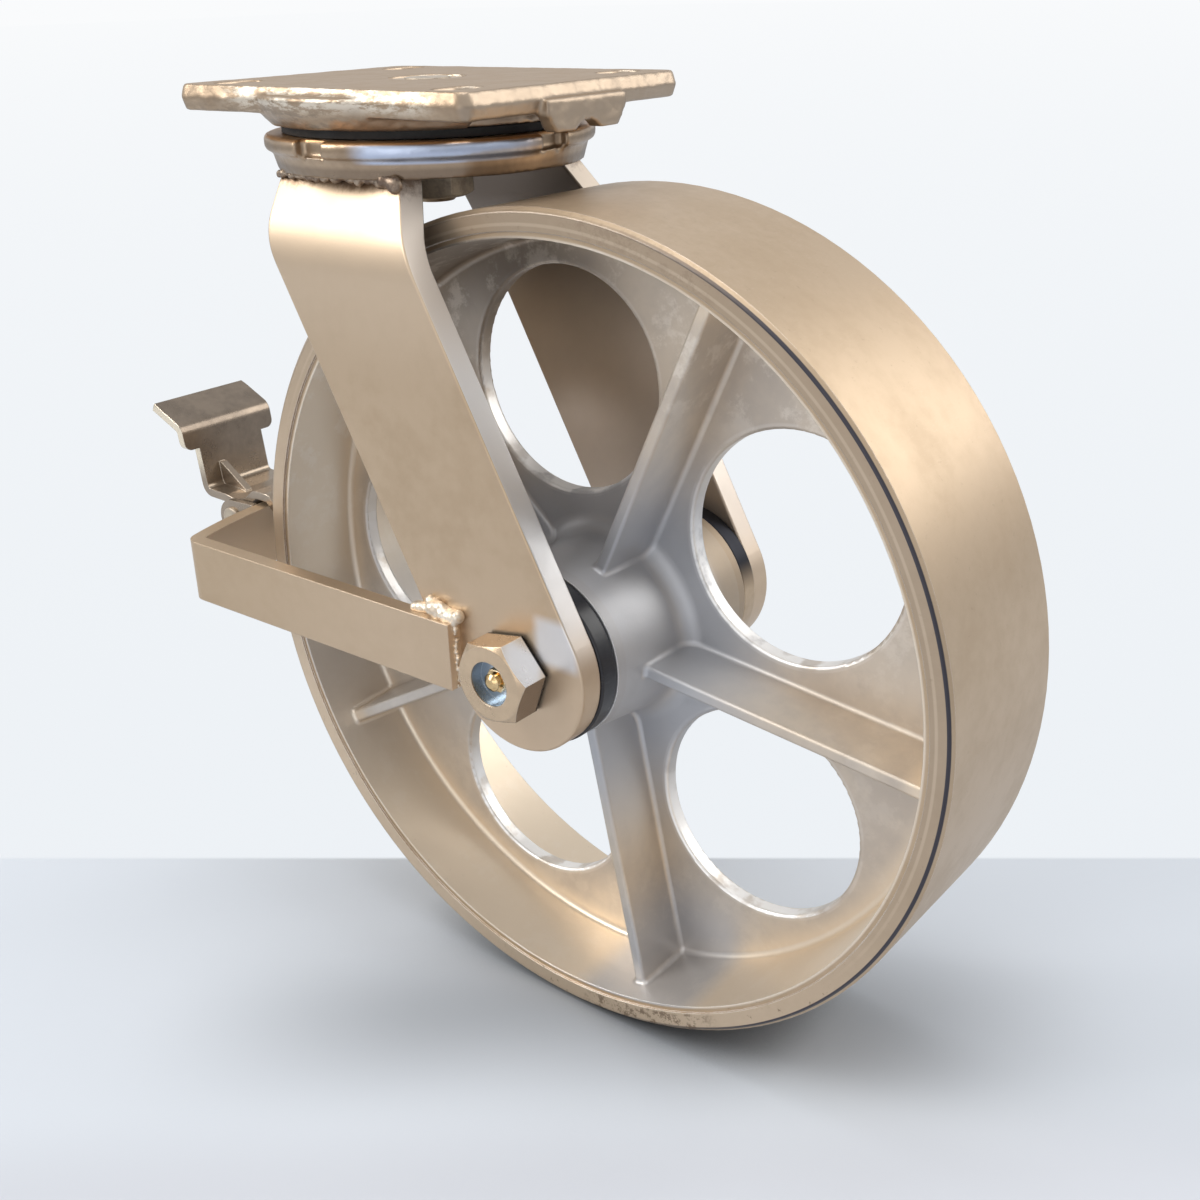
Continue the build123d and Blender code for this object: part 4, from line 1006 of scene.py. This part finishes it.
backdrop = blend_colours(t, fade, BACKDROP_LOW, BACKDROP_HIGH)
glow_colour = blend_colours(t, beyond, FAR_COLOUR, backdrop)
glow = put(t, "ShaderNodeEmission", Color=glow_colour, Strength=1.0).outputs[0]
far_off = ramp(t, vector_maths(t, "LENGTH", where)["Value"], *FAR_FLOOR)
seen = put(t, "ShaderNodeLightPath").outputs["Is Camera Ray"]
glowing = product(t, maths(t, "MAXIMUM", beyond, far_off), seen)
# Painted shade: the floor is made a little darker close to the camera.
near_camera = ramp(t, distance, *(row_distance(row) for row in NEAR_FLOOR_ROWS))
floor_tone = blend_colours(t, near_camera, FLOOR_COLOUR, NEAR_FLOOR_SHADE)
floor_shader = t.nodes["Principled BSDF"]
fill(t, floor_shader.inputs["Base Color"], blend_colours(t, shaded, floor_tone, (0.0, 0.0, 0.0)))
floor_shader.inputs["Roughness"].default_value = 0.7
floor_shader.inputs["Specular IOR Level"].default_value = 0.1
surface = put(t, "ShaderNodeMixShader", n0=glowing, n1=floor_shader.outputs[0], n2=glow)
t.links.new(surface.outputs[0], t.nodes["Material Output"].inputs["Surface"])
floor.data.materials.append(floor_material)
print("floor and backdrop are ready")

# %% [markdown]
# The world is the white of the backdrop where the camera sees it. Its light on the object is half as
# strong, and its reflection in the metal lies between the two.

# %% World
WORLD_LIGHT = 0.50
WORLD_REFLECTION = 0.80
world = bpy.context.scene.world or bpy.data.worlds.new("studio")
bpy.context.scene.world = world
world.use_nodes = True
t = world.node_tree
ray = put(t, "ShaderNodeLightPath").outputs
seen = maths(t, "MAXIMUM", ray["Is Camera Ray"], ray["Is Transmission Ray"])
level = maths(t, "MAXIMUM", seen, product(t, ray["Is Glossy Ray"], WORLD_REFLECTION))
background = t.nodes["Background"]
fill(t, background.inputs["Strength"], maths(t, "MAXIMUM", level, WORLD_LIGHT))
background.inputs["Color"].default_value = (*BACKDROP_HIGH, 1.0)
print("world is ready")

# %% [markdown]
# Four large soft lamps: the key stands high in front on the left and whitens the bend at the top of
# the leg, one behind on the right draws the sheen on the tread, a weak low one lifts the undersides,
# and one overhead lays the soft shadow.

# %% Lamps
WARM_LIGHT = (1.0, 0.985, 0.95)
PLAIN_LIGHT = (1.0, 1.0, 1.0)
LAMPS = (
    ("key", (-0.92, -1.06, 0.86), (0.02, 0.0, -0.12), 0.85, 17.0, WARM_LIGHT),
    ("back", (1.00, 1.02, 0.72), (0.05, 0.0, -0.15), 1.1, 11.0, WARM_LIGHT),
    ("low", (0.35, -1.10, -0.10), (0.05, 0.0, -0.25), 0.7, 1.6, PLAIN_LIGHT),
    ("top", (0.15, -0.10, 1.25), (0.05, 0.0, -0.15), 0.9, 8.5, PLAIN_LIGHT),
)
for name, place_at, aim, size, power, light_colour in LAMPS:
    data = bpy.data.lights.new(name, "AREA")
    data.shape = "SQUARE"
    data.size = size
    data.energy = power
    data.color = light_colour
    lamp = bpy.data.objects.new(name, data)
    bpy.context.scene.collection.objects.link(lamp)
    lamp.location = place_at
    lamp.rotation_mode = "QUATERNION"
    lamp.rotation_quaternion = (Vector(aim) - Vector(place_at)).to_track_quat("-Z", "Y")
print("lamps:", [lamp.name for lamp in bpy.data.lights])
